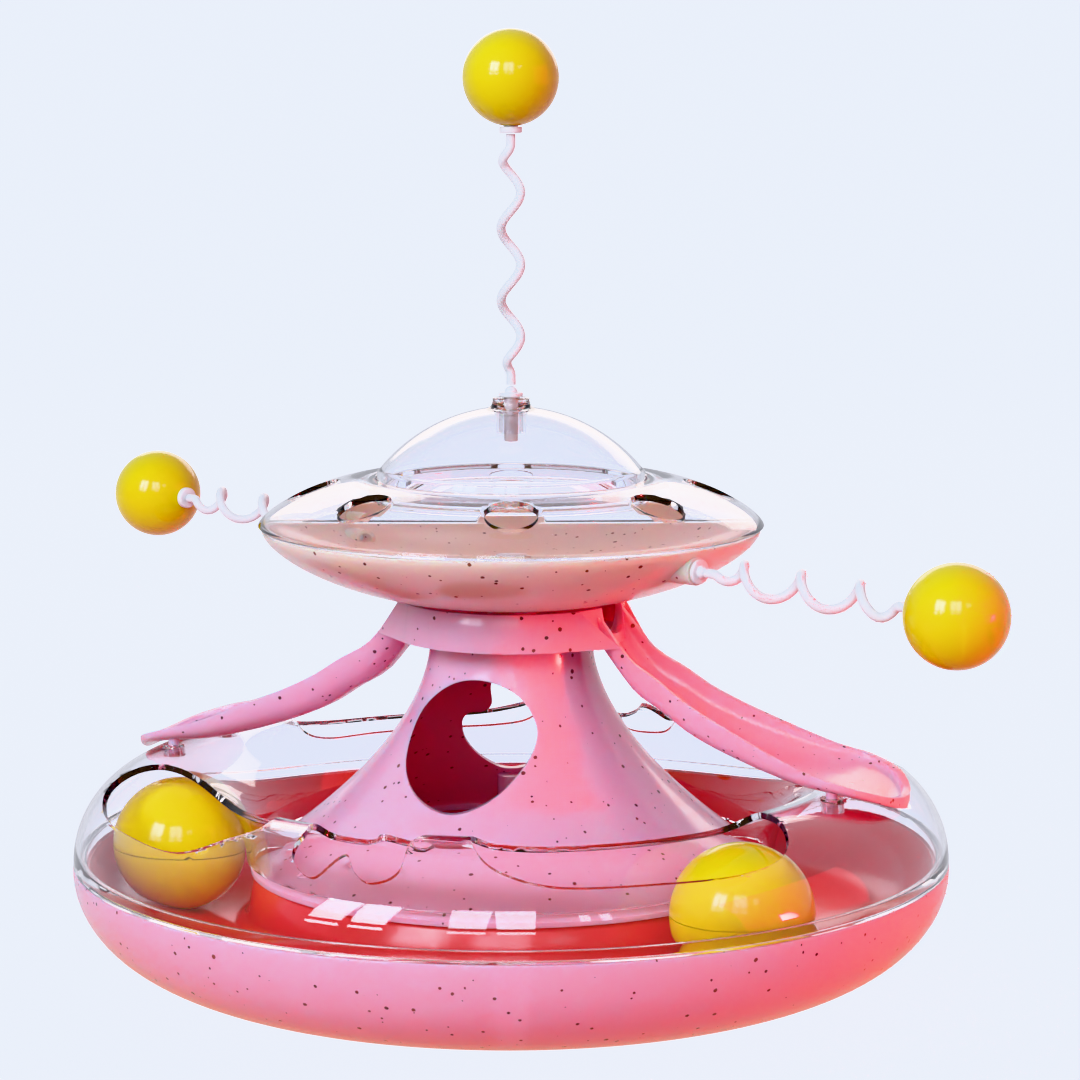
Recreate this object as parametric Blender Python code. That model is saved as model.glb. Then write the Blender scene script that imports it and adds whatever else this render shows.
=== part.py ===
# Cat ball track toy: a round pink base with a covered ball track, a cone that carries
# two slides and a turning saucer, and three wavy wands that end in yellow balls.
# Frame: metres, +Z up, origin at the centre of the foot ring's flat bottom.
import math

import bmesh
import bpy
from mathutils import Matrix, Vector

mm = 0.001

# General sizes
gap = 0.3 * mm
round_steps = 32
small_steps = 16

# Base bowl
base_radius = 129.4 * mm
base_turn_width = 41.4 * mm
base_belly_z = 33 * mm
base_rim_rise = 1.7 * mm
base_rim_inset = 0.1 * mm
base_bottom_z = 2 * mm
base_wall = 2.4 * mm
foot_inset = 3.5 * mm
foot_width = 5 * mm

# Screws that hold the cone, the tray and the bowl together
screw_count = 3
screw_shank_radius = 1.5 * mm
screw_head_radius = 3.3 * mm
screw_head_height = 2.2 * mm
screw_length = 18 * mm
screw_seat_drop = 10.5 * mm
post_radius = 5.4 * mm

# Track tray
track_floor_share = 0.4394
track_bank_width = 16.6 * mm
track_floor_width = 26.5 * mm
tray_wall = 2 * mm
tray_side_gap = 0.4 * mm
deck_slope_width = 5.3 * mm
deck_drop = 4.2 * mm
tray_rim_drop = 0.3 * mm

# Track balls
track_ball_radius = 20 * mm
track_ball_wall = 1.4 * mm
track_ball_inset = 8 * mm
track_ball_angles = {"right": -51, "left": 175}

# Cone
cone_hem_overhang = 1 * mm
cone_neck_radius = 24 * mm
cone_hem_rise = 2 * mm
cone_top_z = 99 * mm
cone_wall = 2.2 * mm
cone_sweep = 1.85
cone_boss_radius = 4.4 * mm
cone_boss_height = 16.1 * mm
cone_boss_inset = 6.2 * mm
hub_boss_radius = 7.5 * mm
hub_boss_height = 8.9 * mm

# Track cover
cover_rise = 27 * mm
cover_outer_reach = 26.3 * mm
cover_inner_gap = 0.2 * mm
cover_wall = 1.8 * mm
opening_outer_margin = 6.9 * mm
opening_inner_margin = 9.6 * mm

# Slides
slide_angle = -22
slide_root_inset = 4.5 * mm
slide_overhang = 17.8 * mm
slide_tip_drop = 1 * mm
slide_half_width_top = 10.5 * mm
slide_half_width_tip = 22 * mm
slide_wall = 2 * mm
collar_overhang = 10 * mm
collar_taper = 1.4 * mm
collar_wall = 2.2 * mm
collar_floor = 2.2 * mm
collar_top_rise = 0.6 * mm
peg_offset = 2 * mm
peg_spread = 9.4
peg_radius = 1.6 * mm
peg_depth = 4.6 * mm
socket_radius = 3.2 * mm
socket_rise = 0.4 * mm
socket_drop = 2.6 * mm

# Saucer
dish_bottom_gap = 1.8 * mm
dish_flat_radius = 20 * mm
dish_radius = 73.2 * mm
dish_rise = 21.7 * mm
dish_curve = 1.58
dish_wall = 2.2 * mm
dish_hub_radius = 6 * mm
dish_hub_height = 8.4 * mm
leak_hole_radius = 5.5 * mm
leak_hole_offset = 1 * mm
nozzle_radius = 4 * mm
nozzle_recess = 0.1 * mm
nozzle_length = 10.1 * mm
nozzle_drop = 5.7 * mm
disc_overhang = 1 * mm
disc_edge = 0.9 * mm
disc_rise = 13.6 * mm
disc_curve = 1.4
disc_wall = 1.6 * mm
disc_slope_width = 34.4 * mm
mouth_ring_width = 5.6 * mm
mouth_depth = 4.6 * mm
mouth_ledge = 2.2 * mm
treat_hole_count = 8
treat_hole_radius = 7.5 * mm
treat_hole_offset = 18.2 * mm
dome_apex_rise = 19.1 * mm
dome_skirt = 6 * mm
dome_wall = 1.6 * mm
dome_clearance = 0.5 * mm
neck_radius = 5.5 * mm
neck_flare = 2 * mm
neck_height = 2.6 * mm
socket_tube_radius = 4.2 * mm
socket_tube_depth = 8 * mm

# Pivot of the saucer
pin_radius = 2 * mm
pin_tail = 9 * mm
washer_radius = 6.4 * mm
washer_thickness = 1.2 * mm
cap_radius = 4.6 * mm
cap_height = 3.4 * mm
pin_in_cap = 2.2 * mm

# Wands, measured from the face of the socket along the wand
wand_ball_radius = 14 * mm
wand_ball_wall = 1.2 * mm
wand_reach = 92.5 * mm
plug_flange_radius = 3.5 * mm
plug_flange_height = 1.2 * mm
plug_dome_radius = 1.9 * mm
plug_shaft_radius = 2.1 * mm
top_plug_length = 13 * mm
side_plug_length = 7 * mm
ball_plug_radius = 3.3 * mm
ball_plug_height = 1.6 * mm
ball_plug_length = 8 * mm
wire_radius = 1.4 * mm
top_curl_radius = 2.85 * mm
side_curl_radius = 4.1 * mm
curl_pitch = 20.9 * mm
first_crest = 7.3 * mm
points_per_curl = 9
side_wand_angles = {"right": -45, "left": 135}
wand_droop = {"right": 1.1, "left": -0.8}
wand_lean = {"right": 2.0, "left": 0.6}

# Radii that follow from the sizes above
base_flat_radius = base_radius - base_turn_width
foot_radius = base_flat_radius - foot_inset
tray_outer_radius = base_radius - base_wall - tray_wall - tray_side_gap
track_floor_outer_radius = tray_outer_radius - track_bank_width
track_floor_inner_radius = track_floor_outer_radius - track_floor_width
track_ball_circle = track_floor_outer_radius - track_ball_inset
deck_radius = track_floor_inner_radius - deck_slope_width
cone_hem_radius = deck_radius + cone_hem_overhang
cover_outer_radius = base_radius - base_rim_inset
cover_inner_radius = deck_radius + cover_inner_gap
cover_crest_radius = cover_outer_radius - cover_outer_reach
cover_inner_reach = cover_crest_radius - cover_inner_radius
opening_outer_radius = cover_outer_radius - opening_outer_margin
opening_inner_radius = cover_inner_radius + opening_inner_margin
collar_radius = cone_neck_radius + collar_overhang
slide_start = collar_radius - slide_root_inset
slide_reach = cover_crest_radius + slide_overhang
peg_circle = cover_crest_radius + peg_offset
leak_hole_circle = dish_flat_radius + leak_hole_offset
nozzle_reach = dish_radius - nozzle_recess
nozzle_root = nozzle_reach - nozzle_length
disc_radius = dish_radius + disc_overhang
mouth_radius = disc_radius - disc_slope_width
treat_hole_circle = mouth_radius + treat_hole_offset
dome_radius = mouth_radius - dome_clearance
dome_curve_radius = (dome_radius ** 2 + dome_apex_rise ** 2) / (2 * dome_apex_rise)
neck_flare_radius = neck_radius + neck_flare
pin_hole_radius = pin_radius + gap

# Heights that follow from the sizes above
base_rim_z = base_belly_z + base_rim_rise
deck_z = base_rim_z - deck_drop
track_floor_z = track_floor_share * base_belly_z
screw_seat_z = deck_z - screw_seat_drop
cone_hem_z = deck_z + cone_hem_rise
cone_boss_top_z = deck_z + cone_boss_height
collar_seat_z = cone_top_z + 2 * gap
hub_boss_top_z = cone_top_z + gap + hub_boss_height
dish_bottom_z = hub_boss_top_z + dish_bottom_gap
dish_rim_z = dish_bottom_z + dish_rise
disc_bottom_z = dish_rim_z + gap
slide_top_z = dish_bottom_z + collar_top_rise
ring_top_z = disc_bottom_z + disc_edge + disc_rise
dome_bottom_z = ring_top_z - mouth_depth + gap
dome_apex_z = dome_bottom_z + dome_skirt + dome_apex_rise
neck_top_z = dome_apex_z + neck_height
cover_foot_z = base_rim_z + gap
slide_tip_z = cover_foot_z + cover_rise - slide_tip_drop
wand_z = dish_rim_z - nozzle_drop


def clear_scene():
    for item in list(bpy.data.objects):
        bpy.data.objects.remove(item, do_unlink=True)


def plastic(name, colour, roughness, metallic=0.0, alpha=1.0):
    finish = bpy.data.materials.new(name)
    finish.use_nodes = True
    shader = finish.node_tree.nodes["Principled BSDF"]
    shader.inputs["Base Color"].default_value = (*colour, 1.0)
    shader.inputs["Roughness"].default_value = roughness
    shader.inputs["Metallic"].default_value = metallic
    shader.inputs["Alpha"].default_value = alpha
    return finish


def finish_mesh(mesh):
    mesh.shade_smooth()
    mesh.set_sharp_from_angle(angle=math.radians(35))


def add_object(name, form, finish, parent=None):
    mesh = bpy.data.meshes.new(name)
    form.to_mesh(mesh)
    form.free()
    finish_mesh(mesh)
    item = bpy.data.objects.new(name, mesh)
    bpy.context.collection.objects.link(item)
    item.parent = parent
    if finish:
        mesh.materials.append(finish)
    else:
        item.hide_render = True
        item.display_type = "WIRE"
    return item


def add_empty(name, matrix, parent=None):
    item = bpy.data.objects.new(name, None)
    bpy.context.collection.objects.link(item)
    item.parent = parent
    item.matrix_local = matrix
    return item


# Turned shapes: a loop of (radius, height) points spun about Z. Two points in a row
# that lie on the axis need no edge between them.
def turned(profile, steps=round_steps):
    form = bmesh.new()
    on_axis = 0.01 * mm
    points = [form.verts.new((radius if radius > on_axis else 0, 0, height)) for radius, height in profile]
    edges = [form.edges.new(pair) for pair in zip(points, points[1:] + points[:1])
             if max(pair[0].co.x, pair[1].co.x) > 0]
    bmesh.ops.spin(form, geom=points + edges, axis=(0, 0, 1), cent=(0, 0, 0),
                   angle=math.tau, steps=steps, use_merge=True)
    bmesh.ops.remove_doubles(form, verts=form.verts, dist=on_axis)
    bmesh.ops.dissolve_degenerate(form, edges=form.edges, dist=on_axis)
    bmesh.ops.recalc_face_normals(form, faces=form.faces)
    return form


# An arc of a superellipse from a start with an upright tangent to an end with a
# level one. A curve of 2 is an ellipse, and less than 2 is flatter.
def bow(start, end, curve=2.0, steps=6):
    points = []
    for step in range(steps + 1):
        turn = math.pi / 2 * step / steps
        along = 1 - max(math.cos(turn), 0) ** (2 / curve)
        rise = max(math.sin(turn), 0) ** (2 / curve)
        points.append((start[0] + (end[0] - start[0]) * along,
                       start[1] + (end[1] - start[1]) * rise))
    return points


# The same line moved sideways by a wall's thickness, to the left of its direction.
def moved_aside(points, distance):
    moved = []
    for index, point in enumerate(points):
        before = Vector(points[max(index - 1, 0)])
        after = Vector(points[min(index + 1, len(points) - 1)])
        along = (after - before).normalized()
        moved.append((point[0] - along.y * distance, point[1] + along.x * distance))
    return moved


def rod(radius, bottom, top, place=(0, 0), steps=small_steps):
    form = bmesh.new()
    middle = Matrix.Translation((place[0], place[1], (bottom + top) / 2))
    bmesh.ops.create_cone(form, cap_ends=True, segments=steps, radius1=radius,
                          radius2=radius, depth=top - bottom, matrix=middle)
    return form


def ring(inner, outer, bottom, top, steps=small_steps):
    return turned([(outer, top), (outer, bottom), (inner, bottom), (inner, top)], steps)


# A smooth closed line through a few chosen points.
def smooth_loop(points, steps=4):
    loop = []
    count = len(points)
    for index in range(count):
        p0, p1, p2, p3 = (Vector(points[(index + shift) % count]) for shift in (-1, 0, 1, 2))
        for step in range(steps):
            t = step / steps
            loop.append(0.5 * (2 * p1 + (p2 - p0) * t + (2 * p0 - 5 * p1 + 4 * p2 - p3) * t * t
                               + (3 * p1 - p0 - 3 * p2 + p3) * t ** 3))
    return loop


# A smooth open line through chosen points, read at a fraction of its first number.
def smooth_value(points, place):
    for index in range(len(points) - 1):
        start, end = points[index], points[index + 1]
        if place <= end[0] or index == len(points) - 2:
            break
    before = points[max(index - 1, 0)]
    after = points[min(index + 2, len(points) - 1)]
    span = end[0] - start[0]
    t = (place - start[0]) / span
    slope_start = (end[1] - before[1]) / (end[0] - before[0]) * span
    slope_end = (after[1] - start[1]) / (after[0] - start[0]) * span
    return ((2 * t ** 3 - 3 * t ** 2 + 1) * start[1] + (t ** 3 - 2 * t ** 2 + t) * slope_start
            + (3 * t ** 2 - 2 * t ** 3) * end[1] + (t ** 3 - t ** 2) * slope_end)


# A prism on an outline of 3D points, pushed along one direction.
def prism(outline, push):
    form = bmesh.new()
    face = form.faces.new([form.verts.new(point) for point in outline])
    lifted = bmesh.ops.extrude_face_region(form, geom=[face])
    moved = [item for item in lifted["geom"] if isinstance(item, bmesh.types.BMVert)]
    bmesh.ops.translate(form, verts=moved, vec=push)
    bmesh.ops.recalc_face_normals(form, faces=form.faces)
    return form


def cut_or_join(item, form, operation, tool_name, parent=None):
    tool = add_object(tool_name, form, None, parent)
    change = item.modifiers.new(tool_name, "BOOLEAN")
    change.operation = operation
    change.object = tool
    change.solver = "EXACT"
    return tool


def polar(radius, angle):
    return radius * math.cos(math.radians(angle)), radius * math.sin(math.radians(angle))


def cone_radius_at(height):
    drop = (cone_top_z - height) / (cone_top_z - cone_hem_z)
    return cone_neck_radius + (cone_hem_radius - cone_neck_radius) * drop ** cone_sweep


# The screws stand where their bosses meet the cone's wall.
def screw_places():
    circle = cone_radius_at(cone_boss_top_z) - cone_boss_inset
    return [polar(circle, 90 + 360 * index / screw_count) for index in range(screw_count)]


def make_base_bowl(finish):
    belly = (base_radius, base_belly_z)
    rim = (base_radius - base_rim_inset, base_rim_z)
    outside = [rim] + bow(belly, (base_flat_radius, base_bottom_z), steps=6)
    foot_out = foot_radius + foot_width / 2
    foot_in = foot_radius - foot_width / 2
    foot = [(foot_out, base_bottom_z), (foot_out, 0), (foot_in, 0), (foot_in, base_bottom_z)]
    inside_belly = (base_radius - base_wall, base_belly_z)
    inside = bow(inside_belly, (base_flat_radius, base_bottom_z + base_wall), steps=6)
    inside_rim = (rim[0] - base_wall, base_rim_z)
    profile = outside + foot + [(0, base_bottom_z), (0, base_bottom_z + base_wall)]
    bowl = add_object("base_bowl", turned(profile + inside[::-1] + [inside_rim]), finish)
    post_top = deck_z - tray_wall - gap
    for index, place in enumerate(screw_places()):
        post = rod(post_radius, base_bottom_z + base_wall / 2, post_top, place, 12)
        cut_or_join(bowl, post, "UNION", f"tool_post_{index}")
        well = rod(screw_head_radius + gap, -base_wall, screw_seat_z, place, 12)
        cut_or_join(bowl, well, "DIFFERENCE", f"tool_well_{index}")
        hole = rod(screw_shank_radius + gap, 0, deck_z, place, 12)
        cut_or_join(bowl, hole, "DIFFERENCE", f"tool_post_hole_{index}")
    return bowl


def make_track_tray(finish):
    rim_z = base_rim_z - tray_rim_drop
    wall_top = (tray_outer_radius, rim_z)
    outer_wall = bow(wall_top, (track_floor_outer_radius, track_floor_z), steps=4)
    corner = 0.15 * (deck_z - track_floor_z)
    inner_wall = [(track_floor_inner_radius, track_floor_z),
                  (deck_radius + corner, track_floor_z + corner), (deck_radius, deck_z - tray_wall / 2),
                  (deck_radius - tray_wall / 2, deck_z)]
    top_side = outer_wall + inner_wall + [(0, deck_z)]
    under_wall = bow((tray_outer_radius + tray_wall, rim_z),
                     (track_floor_outer_radius, track_floor_z - tray_wall), steps=4)
    under_side = under_wall + [(track_floor_inner_radius - tray_wall / 2, track_floor_z - tray_wall),
                               (deck_radius - tray_wall, track_floor_z + corner),
                               (deck_radius - tray_wall, deck_z - tray_wall), (0, deck_z - tray_wall)]
    tray = add_object("track_tray", turned([(0, deck_z - tray_wall)] + under_side[-2::-1] + top_side), finish)
    for index, place in enumerate(screw_places()):
        hole = rod(screw_shank_radius + gap, deck_z - 2 * tray_wall, deck_z + tray_wall, place, 12)
        cut_or_join(tray, hole, "DIFFERENCE", f"tool_deck_hole_{index}")
    return tray


# The windows' outlines as (across, height) points, as shares of the cone's height.
front_window = [(-0.12, 0.866), (-0.263, 0.836), (-0.393, 0.705), (-0.459, 0.511), (-0.408, 0.391),
                (-0.256, 0.344), (-0.071, 0.411), (0.072, 0.546), (0.11, 0.672), (0.03, 0.805)]
back_window = [(-0.093, 0.702), (-0.09, 0.611), (-0.129, 0.573), (-0.196, 0.57), (-0.226, 0.52),
               (-0.211, 0.42), (-0.143, 0.316), (-0.029, 0.239), (0.09, 0.263), (0.196, 0.367),
               (0.253, 0.507), (0.239, 0.654), (0.147, 0.773), (0.015, 0.821), (-0.066, 0.783)]


def make_cone(finish):
    height = cone_top_z - cone_hem_z
    hem_bottom = deck_z + gap
    drops = (0, 0.14, 0.3, 0.48, 0.66, 0.84, 1)
    outside = [(cone_radius_at(cone_top_z - drop * height), cone_top_z - drop * height) for drop in drops]
    inside = moved_aside(outside, -cone_wall)
    inside[0] = (inside[0][0], cone_top_z - cone_wall)
    outside.append((cone_hem_radius, hem_bottom))
    inside[-1] = (cone_hem_radius - 2 * cone_wall, hem_bottom)
    profile = [(0, cone_top_z)] + outside + inside[::-1] + [(0, cone_top_z - cone_wall)]
    cone = add_object("cone_column", turned(profile), finish)
    boss = rod(hub_boss_radius, cone_top_z - cone_wall / 2, hub_boss_top_z)
    cut_or_join(cone, boss, "UNION", "tool_hub_boss")
    tail = rod(hub_boss_radius - cone_wall, cone_top_z - pin_tail, cone_top_z - cone_wall / 2)
    cut_or_join(cone, tail, "UNION", "tool_hub_tail")
    bore = rod(pin_hole_radius, cone_hem_z, hub_boss_top_z + cone_wall, steps=16)
    cut_or_join(cone, bore, "DIFFERENCE", "tool_pin_bore")
    for index, place in enumerate(screw_places()):
        lug = rod(cone_boss_radius, hem_bottom, cone_boss_top_z, place, 12)
        cut_or_join(cone, lug, "UNION", f"tool_cone_boss_{index}")
        hole_top = screw_seat_z + screw_length + cone_wall
        hole = rod(screw_shank_radius + gap, deck_z - tray_wall, hole_top, place, 12)
        cut_or_join(cone, hole, "DIFFERENCE", f"tool_cone_hole_{index}")
    for name, outline, side in (("front", front_window, -1), ("back", back_window, 1)):
        points = [(x * height, 0, cone_hem_z + z * height) for x, z in smooth_loop(outline, 3)]
        push = (0, side * cone_hem_radius, 0)
        cut_or_join(cone, prism(points, push), "DIFFERENCE", f"tool_{name}_window")
    return cone


def make_column_screws(finish):
    head_z = screw_seat_z - gap
    profile = [(0, head_z - screw_head_height), (screw_head_radius, head_z - screw_head_height),
               (screw_head_radius, head_z), (screw_shank_radius, head_z),
               (screw_shank_radius, head_z + screw_length), (0, head_z + screw_length)]
    for index, (x, y) in enumerate(screw_places()):
        screw = add_object(f"column_screw_{index + 1}", turned(profile, 12), finish)
        screw.location = (x, y, 0)


# Paw openings seen from above: (angle, place between the inner radius 0 and the outer radius 1).
paw_openings = {
    "teardrop": [(-175, 0.86), (-164, 0.98), (-150, 1), (-138, 0.99), (-132, 0.84), (-128.5, 0.64),
                 (-130.5, 0.36), (-136, 0.06), (-150, 0), (-163, 0.03), (-172, 0.2), (-177, 0.5)],
    "double_lobe": [(-120, 0.84), (-117.5, 0.96), (-115, 0.98), (-112.4, 0.8), (-110.2, 0.93), (-107.5, 0.99),
                    (-104.4, 0.9), (-104.4, 0.6), (-103, 0.2), (-105.5, 0.02), (-109, 0.06), (-112.5, 0.13),
                    (-115.5, 0.02), (-120, 0), (-124.6, 0.04), (-124.4, 0.22), (-121.4, 0.55)],
    "banana": [(-93.5, 0.8), (-90, 0.92), (-84, 0.99), (-72, 1), (-60, 1), (-52.5, 0.93), (-48.5, 0.72),
               (-46, 0.42), (-43.5, 0.12), (-48, 0.01), (-60, 0), (-74, 0), (-87, 0.01), (-94, 0.08),
               (-96.3, 0.3), (-95.5, 0.58)]}


def slide_directions():
    return [slide_angle, slide_angle + 180]


def peg_places():
    return [polar(peg_circle, direction + side * peg_spread)
            for direction in slide_directions() for side in (-1, 1)]


def cover_height_at(radius):
    reach = cover_outer_reach if radius > cover_crest_radius else cover_inner_reach
    share = (radius - cover_crest_radius) / reach
    return cover_foot_z + cover_rise * math.sqrt(max(1 - share ** 2, 0))


def make_track_cover(finish):
    crest = (cover_crest_radius, cover_foot_z + cover_rise)
    outer_foot = (cover_crest_radius + cover_outer_reach, cover_foot_z)
    inner_foot = (cover_crest_radius - cover_inner_reach, cover_foot_z)
    under_crest = (crest[0], crest[1] - cover_wall)
    outside = bow(outer_foot, crest, steps=6) + bow(inner_foot, crest, steps=4)[-2::-1]
    under_outer = bow((outer_foot[0] - cover_wall, cover_foot_z), under_crest, steps=4)
    under_inner = bow((inner_foot[0] + cover_wall, cover_foot_z), under_crest, steps=4)
    profile = outside + under_inner + under_outer[-2::-1]
    cover = add_object("track_cover", turned(profile), finish)
    for index, place in enumerate(peg_places()):
        surface = cover_height_at(peg_circle)
        tube = rod(socket_radius, surface - cover_wall - socket_drop, surface + socket_rise, place, 12)
        cut_or_join(cover, tube, "UNION", f"tool_socket_{index}")
        bore = rod(peg_radius + gap, surface - cover_rise / 2, surface + cover_rise / 2, place, 12)
        cut_or_join(cover, bore, "DIFFERENCE", f"tool_socket_bore_{index}")
    opening_width = opening_outer_radius - opening_inner_radius
    for name, outline in paw_openings.items():
        for half_turn in (0, 180):
            points = []
            for angle, share in smooth_loop(outline, 2):
                x, y = polar(opening_inner_radius + share * opening_width, angle + half_turn)
                points.append((x, y, cover_foot_z + 2 * gap))
            push = (0, 0, 2 * cover_rise)
            tool_name = f"tool_{name}_{half_turn}"
            cut_or_join(cover, prism(points, push), "DIFFERENCE", tool_name)
    return cover


# The slide's lip and depth: the share of the way along, then the share of the drop or the depth.
slide_lip = [(0, 0), (0.071, 0.163), (0.134, 0.29), (0.223, 0.385), (0.321, 0.502), (0.468, 0.631),
             (0.709, 0.81), (0.821, 0.865), (0.929, 0.931), (1, 1)]
slide_depths = [(0, 10.6 * mm), (0.3, 11 * mm), (0.5, 9.8 * mm), (0.65, 8 * mm), (0.77, 6 * mm),
                (0.87, 4.6 * mm), (1, 3.8 * mm)]
slide_stations = (0, 0.07, 0.14, 0.25, 0.4, 0.56, 0.7, 0.8, 0.88, 0.94, 0.98)
slide_tip_share = 0.8
slide_corner = 3.0


def slide_lip_z(share):
    return slide_top_z - smooth_value(slide_lip, share) * (slide_top_z - slide_tip_z)


def slide_section(share, inset):
    length = slide_reach - slide_start
    along = slide_start + share * length
    lip = slide_lip_z(share)
    depth = smooth_value(slide_depths, share) - inset
    widen = min(share / slide_tip_share, 1)
    half = slide_half_width_top + (slide_half_width_tip - slide_half_width_top) * widen ** 1.3
    if share > slide_tip_share:
        half *= math.sqrt(1 - ((share - slide_tip_share) / (1 - slide_tip_share)) ** 2)
    half = max(half - inset, half * 0.3)
    section = []
    for step in range(7):
        turn = math.pi * step / 6
        across = -math.copysign(abs(math.cos(turn)) ** (2 / slide_corner), math.cos(turn)) * half
        down = abs(math.sin(turn)) ** (2 / slide_corner) * depth
        section.append(Vector((along, across, lip - down)))
    return section


def slide_form(direction):
    form = bmesh.new()
    rings = []
    for share in slide_stations:
        loop = slide_section(share, 0) + slide_section(share, slide_wall)[::-1]
        rings.append([form.verts.new(point) for point in loop])
    count = len(rings[0])
    for first, second in zip(rings, rings[1:]):
        for index in range(count):
            following = (index + 1) % count
            form.faces.new((first[index], first[following], second[following], second[index]))
    half = count // 2
    for end in (rings[0], rings[-1]):
        for index in range(half - 1):
            form.faces.new((end[index], end[index + 1], end[count - 2 - index], end[count - 1 - index]))
    bmesh.ops.recalc_face_normals(form, faces=form.faces)
    bmesh.ops.rotate(form, verts=form.verts, cent=(0, 0, 0),
                     matrix=Matrix.Rotation(math.radians(direction), 3, "Z"))
    return form


def make_slide_ramp(finish):
    floor_top = collar_seat_z + collar_floor
    rim = (collar_radius - collar_taper, slide_top_z)
    profile = [(collar_radius, collar_seat_z), rim, (rim[0] - collar_wall, slide_top_z),
               (collar_radius - collar_wall, floor_top), (hub_boss_radius + gap, floor_top),
               (hub_boss_radius + gap, collar_seat_z)]
    ramp = add_object("slide_ramp", turned(profile), finish)
    for index, direction in enumerate(slide_directions()):
        cut_or_join(ramp, slide_form(direction), "UNION", f"tool_slide_{index}")
    for index, place in enumerate(peg_places()):
        share = (peg_circle * math.cos(math.radians(peg_spread)) - slide_start) / (slide_reach - slide_start)
        root = slide_lip_z(share) - 0.62 * smooth_value(slide_depths, share)
        peg = rod(peg_radius, cover_height_at(peg_circle) - peg_depth, root, place, 12)
        cut_or_join(ramp, peg, "UNION", f"tool_peg_{index}")
    passage = slide_section(0, slide_wall + gap)
    above = Vector((0, 0, 2 * collar_wall))
    outline = [passage[0] + above] + passage + [passage[-1] + above]
    gate = prism([(-1.1 * collar_radius, point.y, point.z) for point in outline], (2.2 * collar_radius, 0, 0))
    bmesh.ops.rotate(gate, verts=gate.verts, cent=(0, 0, 0),
                     matrix=Matrix.Rotation(math.radians(slide_angle), 3, "Z"))
    cut_or_join(ramp, gate, "DIFFERENCE", "tool_gate")
    return ramp


def make_ufo_dish(finish, parent):
    rim = (dish_radius, dish_rim_z)
    outside = bow(rim, (dish_flat_radius, dish_bottom_z), dish_curve, 6)
    inner_rim = (dish_radius - dish_wall, dish_rim_z)
    inside = bow(inner_rim, (dish_flat_radius, dish_bottom_z + dish_wall), dish_curve, 5)
    hub_top = dish_bottom_z + dish_hub_height
    profile = outside + [(pin_hole_radius, dish_bottom_z), (pin_hole_radius, hub_top),
                         (dish_hub_radius, hub_top), (dish_hub_radius, dish_bottom_z + dish_wall)]
    dish = add_object("ufo_dish", turned(profile + inside[::-1]), finish, parent)
    for index, direction in enumerate(slide_directions()):
        place = polar(leak_hole_circle, direction)
        hole = rod(leak_hole_radius, dish_bottom_z - dish_wall, dish_bottom_z + 3 * dish_wall, place, 12)
        cut_or_join(dish, hole, "DIFFERENCE", f"tool_leak_{index}", parent)
    for side, angle in side_wand_angles.items():
        sideways = Matrix.Rotation(math.radians(angle), 4, "Z") @ Matrix.Rotation(math.pi / 2, 4, "Y")
        lift = Matrix.Translation((0, 0, wand_z))
        nozzle = rod(nozzle_radius, nozzle_root, nozzle_reach, steps=12)
        bmesh.ops.transform(nozzle, verts=nozzle.verts, matrix=lift @ sideways)
        cut_or_join(dish, nozzle, "UNION", f"tool_{side}_nozzle", parent)
        bore = rod(plug_shaft_radius + gap, nozzle_root - dish_wall, dish_radius + nozzle_radius, steps=12)
        bmesh.ops.transform(bore, verts=bore.verts, matrix=lift @ sideways)
        cut_or_join(dish, bore, "DIFFERENCE", f"tool_{side}_bore", parent)
    return dish


def make_clear_disc(finish, parent):
    edge = (disc_radius, disc_bottom_z + disc_edge)
    ring_inner = mouth_radius
    ring_outer = mouth_radius + mouth_ring_width
    outside = bow(edge, (ring_outer, ring_top_z), disc_curve, 5)
    inner_edge = (disc_radius - disc_wall, edge[1])
    inside = bow(inner_edge, (ring_outer - disc_wall, ring_top_z - disc_wall), disc_curve, 4)
    ledge_z = ring_top_z - mouth_depth
    mouth = [(ring_inner, ring_top_z), (ring_inner, ledge_z), (ring_inner - mouth_ledge, ledge_z),
             (ring_inner - mouth_ledge, ledge_z - disc_wall),
             (ring_inner + disc_wall, ledge_z - disc_wall), (ring_inner + disc_wall, ring_top_z - disc_wall)]
    foot = [(disc_radius - disc_wall, disc_bottom_z), (disc_radius - disc_edge, disc_bottom_z)]
    profile = outside + mouth + inside[::-1] + foot
    disc = add_object("ufo_clear_disc", turned(profile), finish, parent)
    for index in range(treat_hole_count):
        place = polar(treat_hole_circle, 360 * index / treat_hole_count - 90)
        hole = rod(treat_hole_radius, disc_bottom_z + disc_edge, ring_top_z + disc_edge, place, 12)
        cut_or_join(disc, hole, "DIFFERENCE", f"tool_treat_hole_{index}", parent)
    return disc


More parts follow.
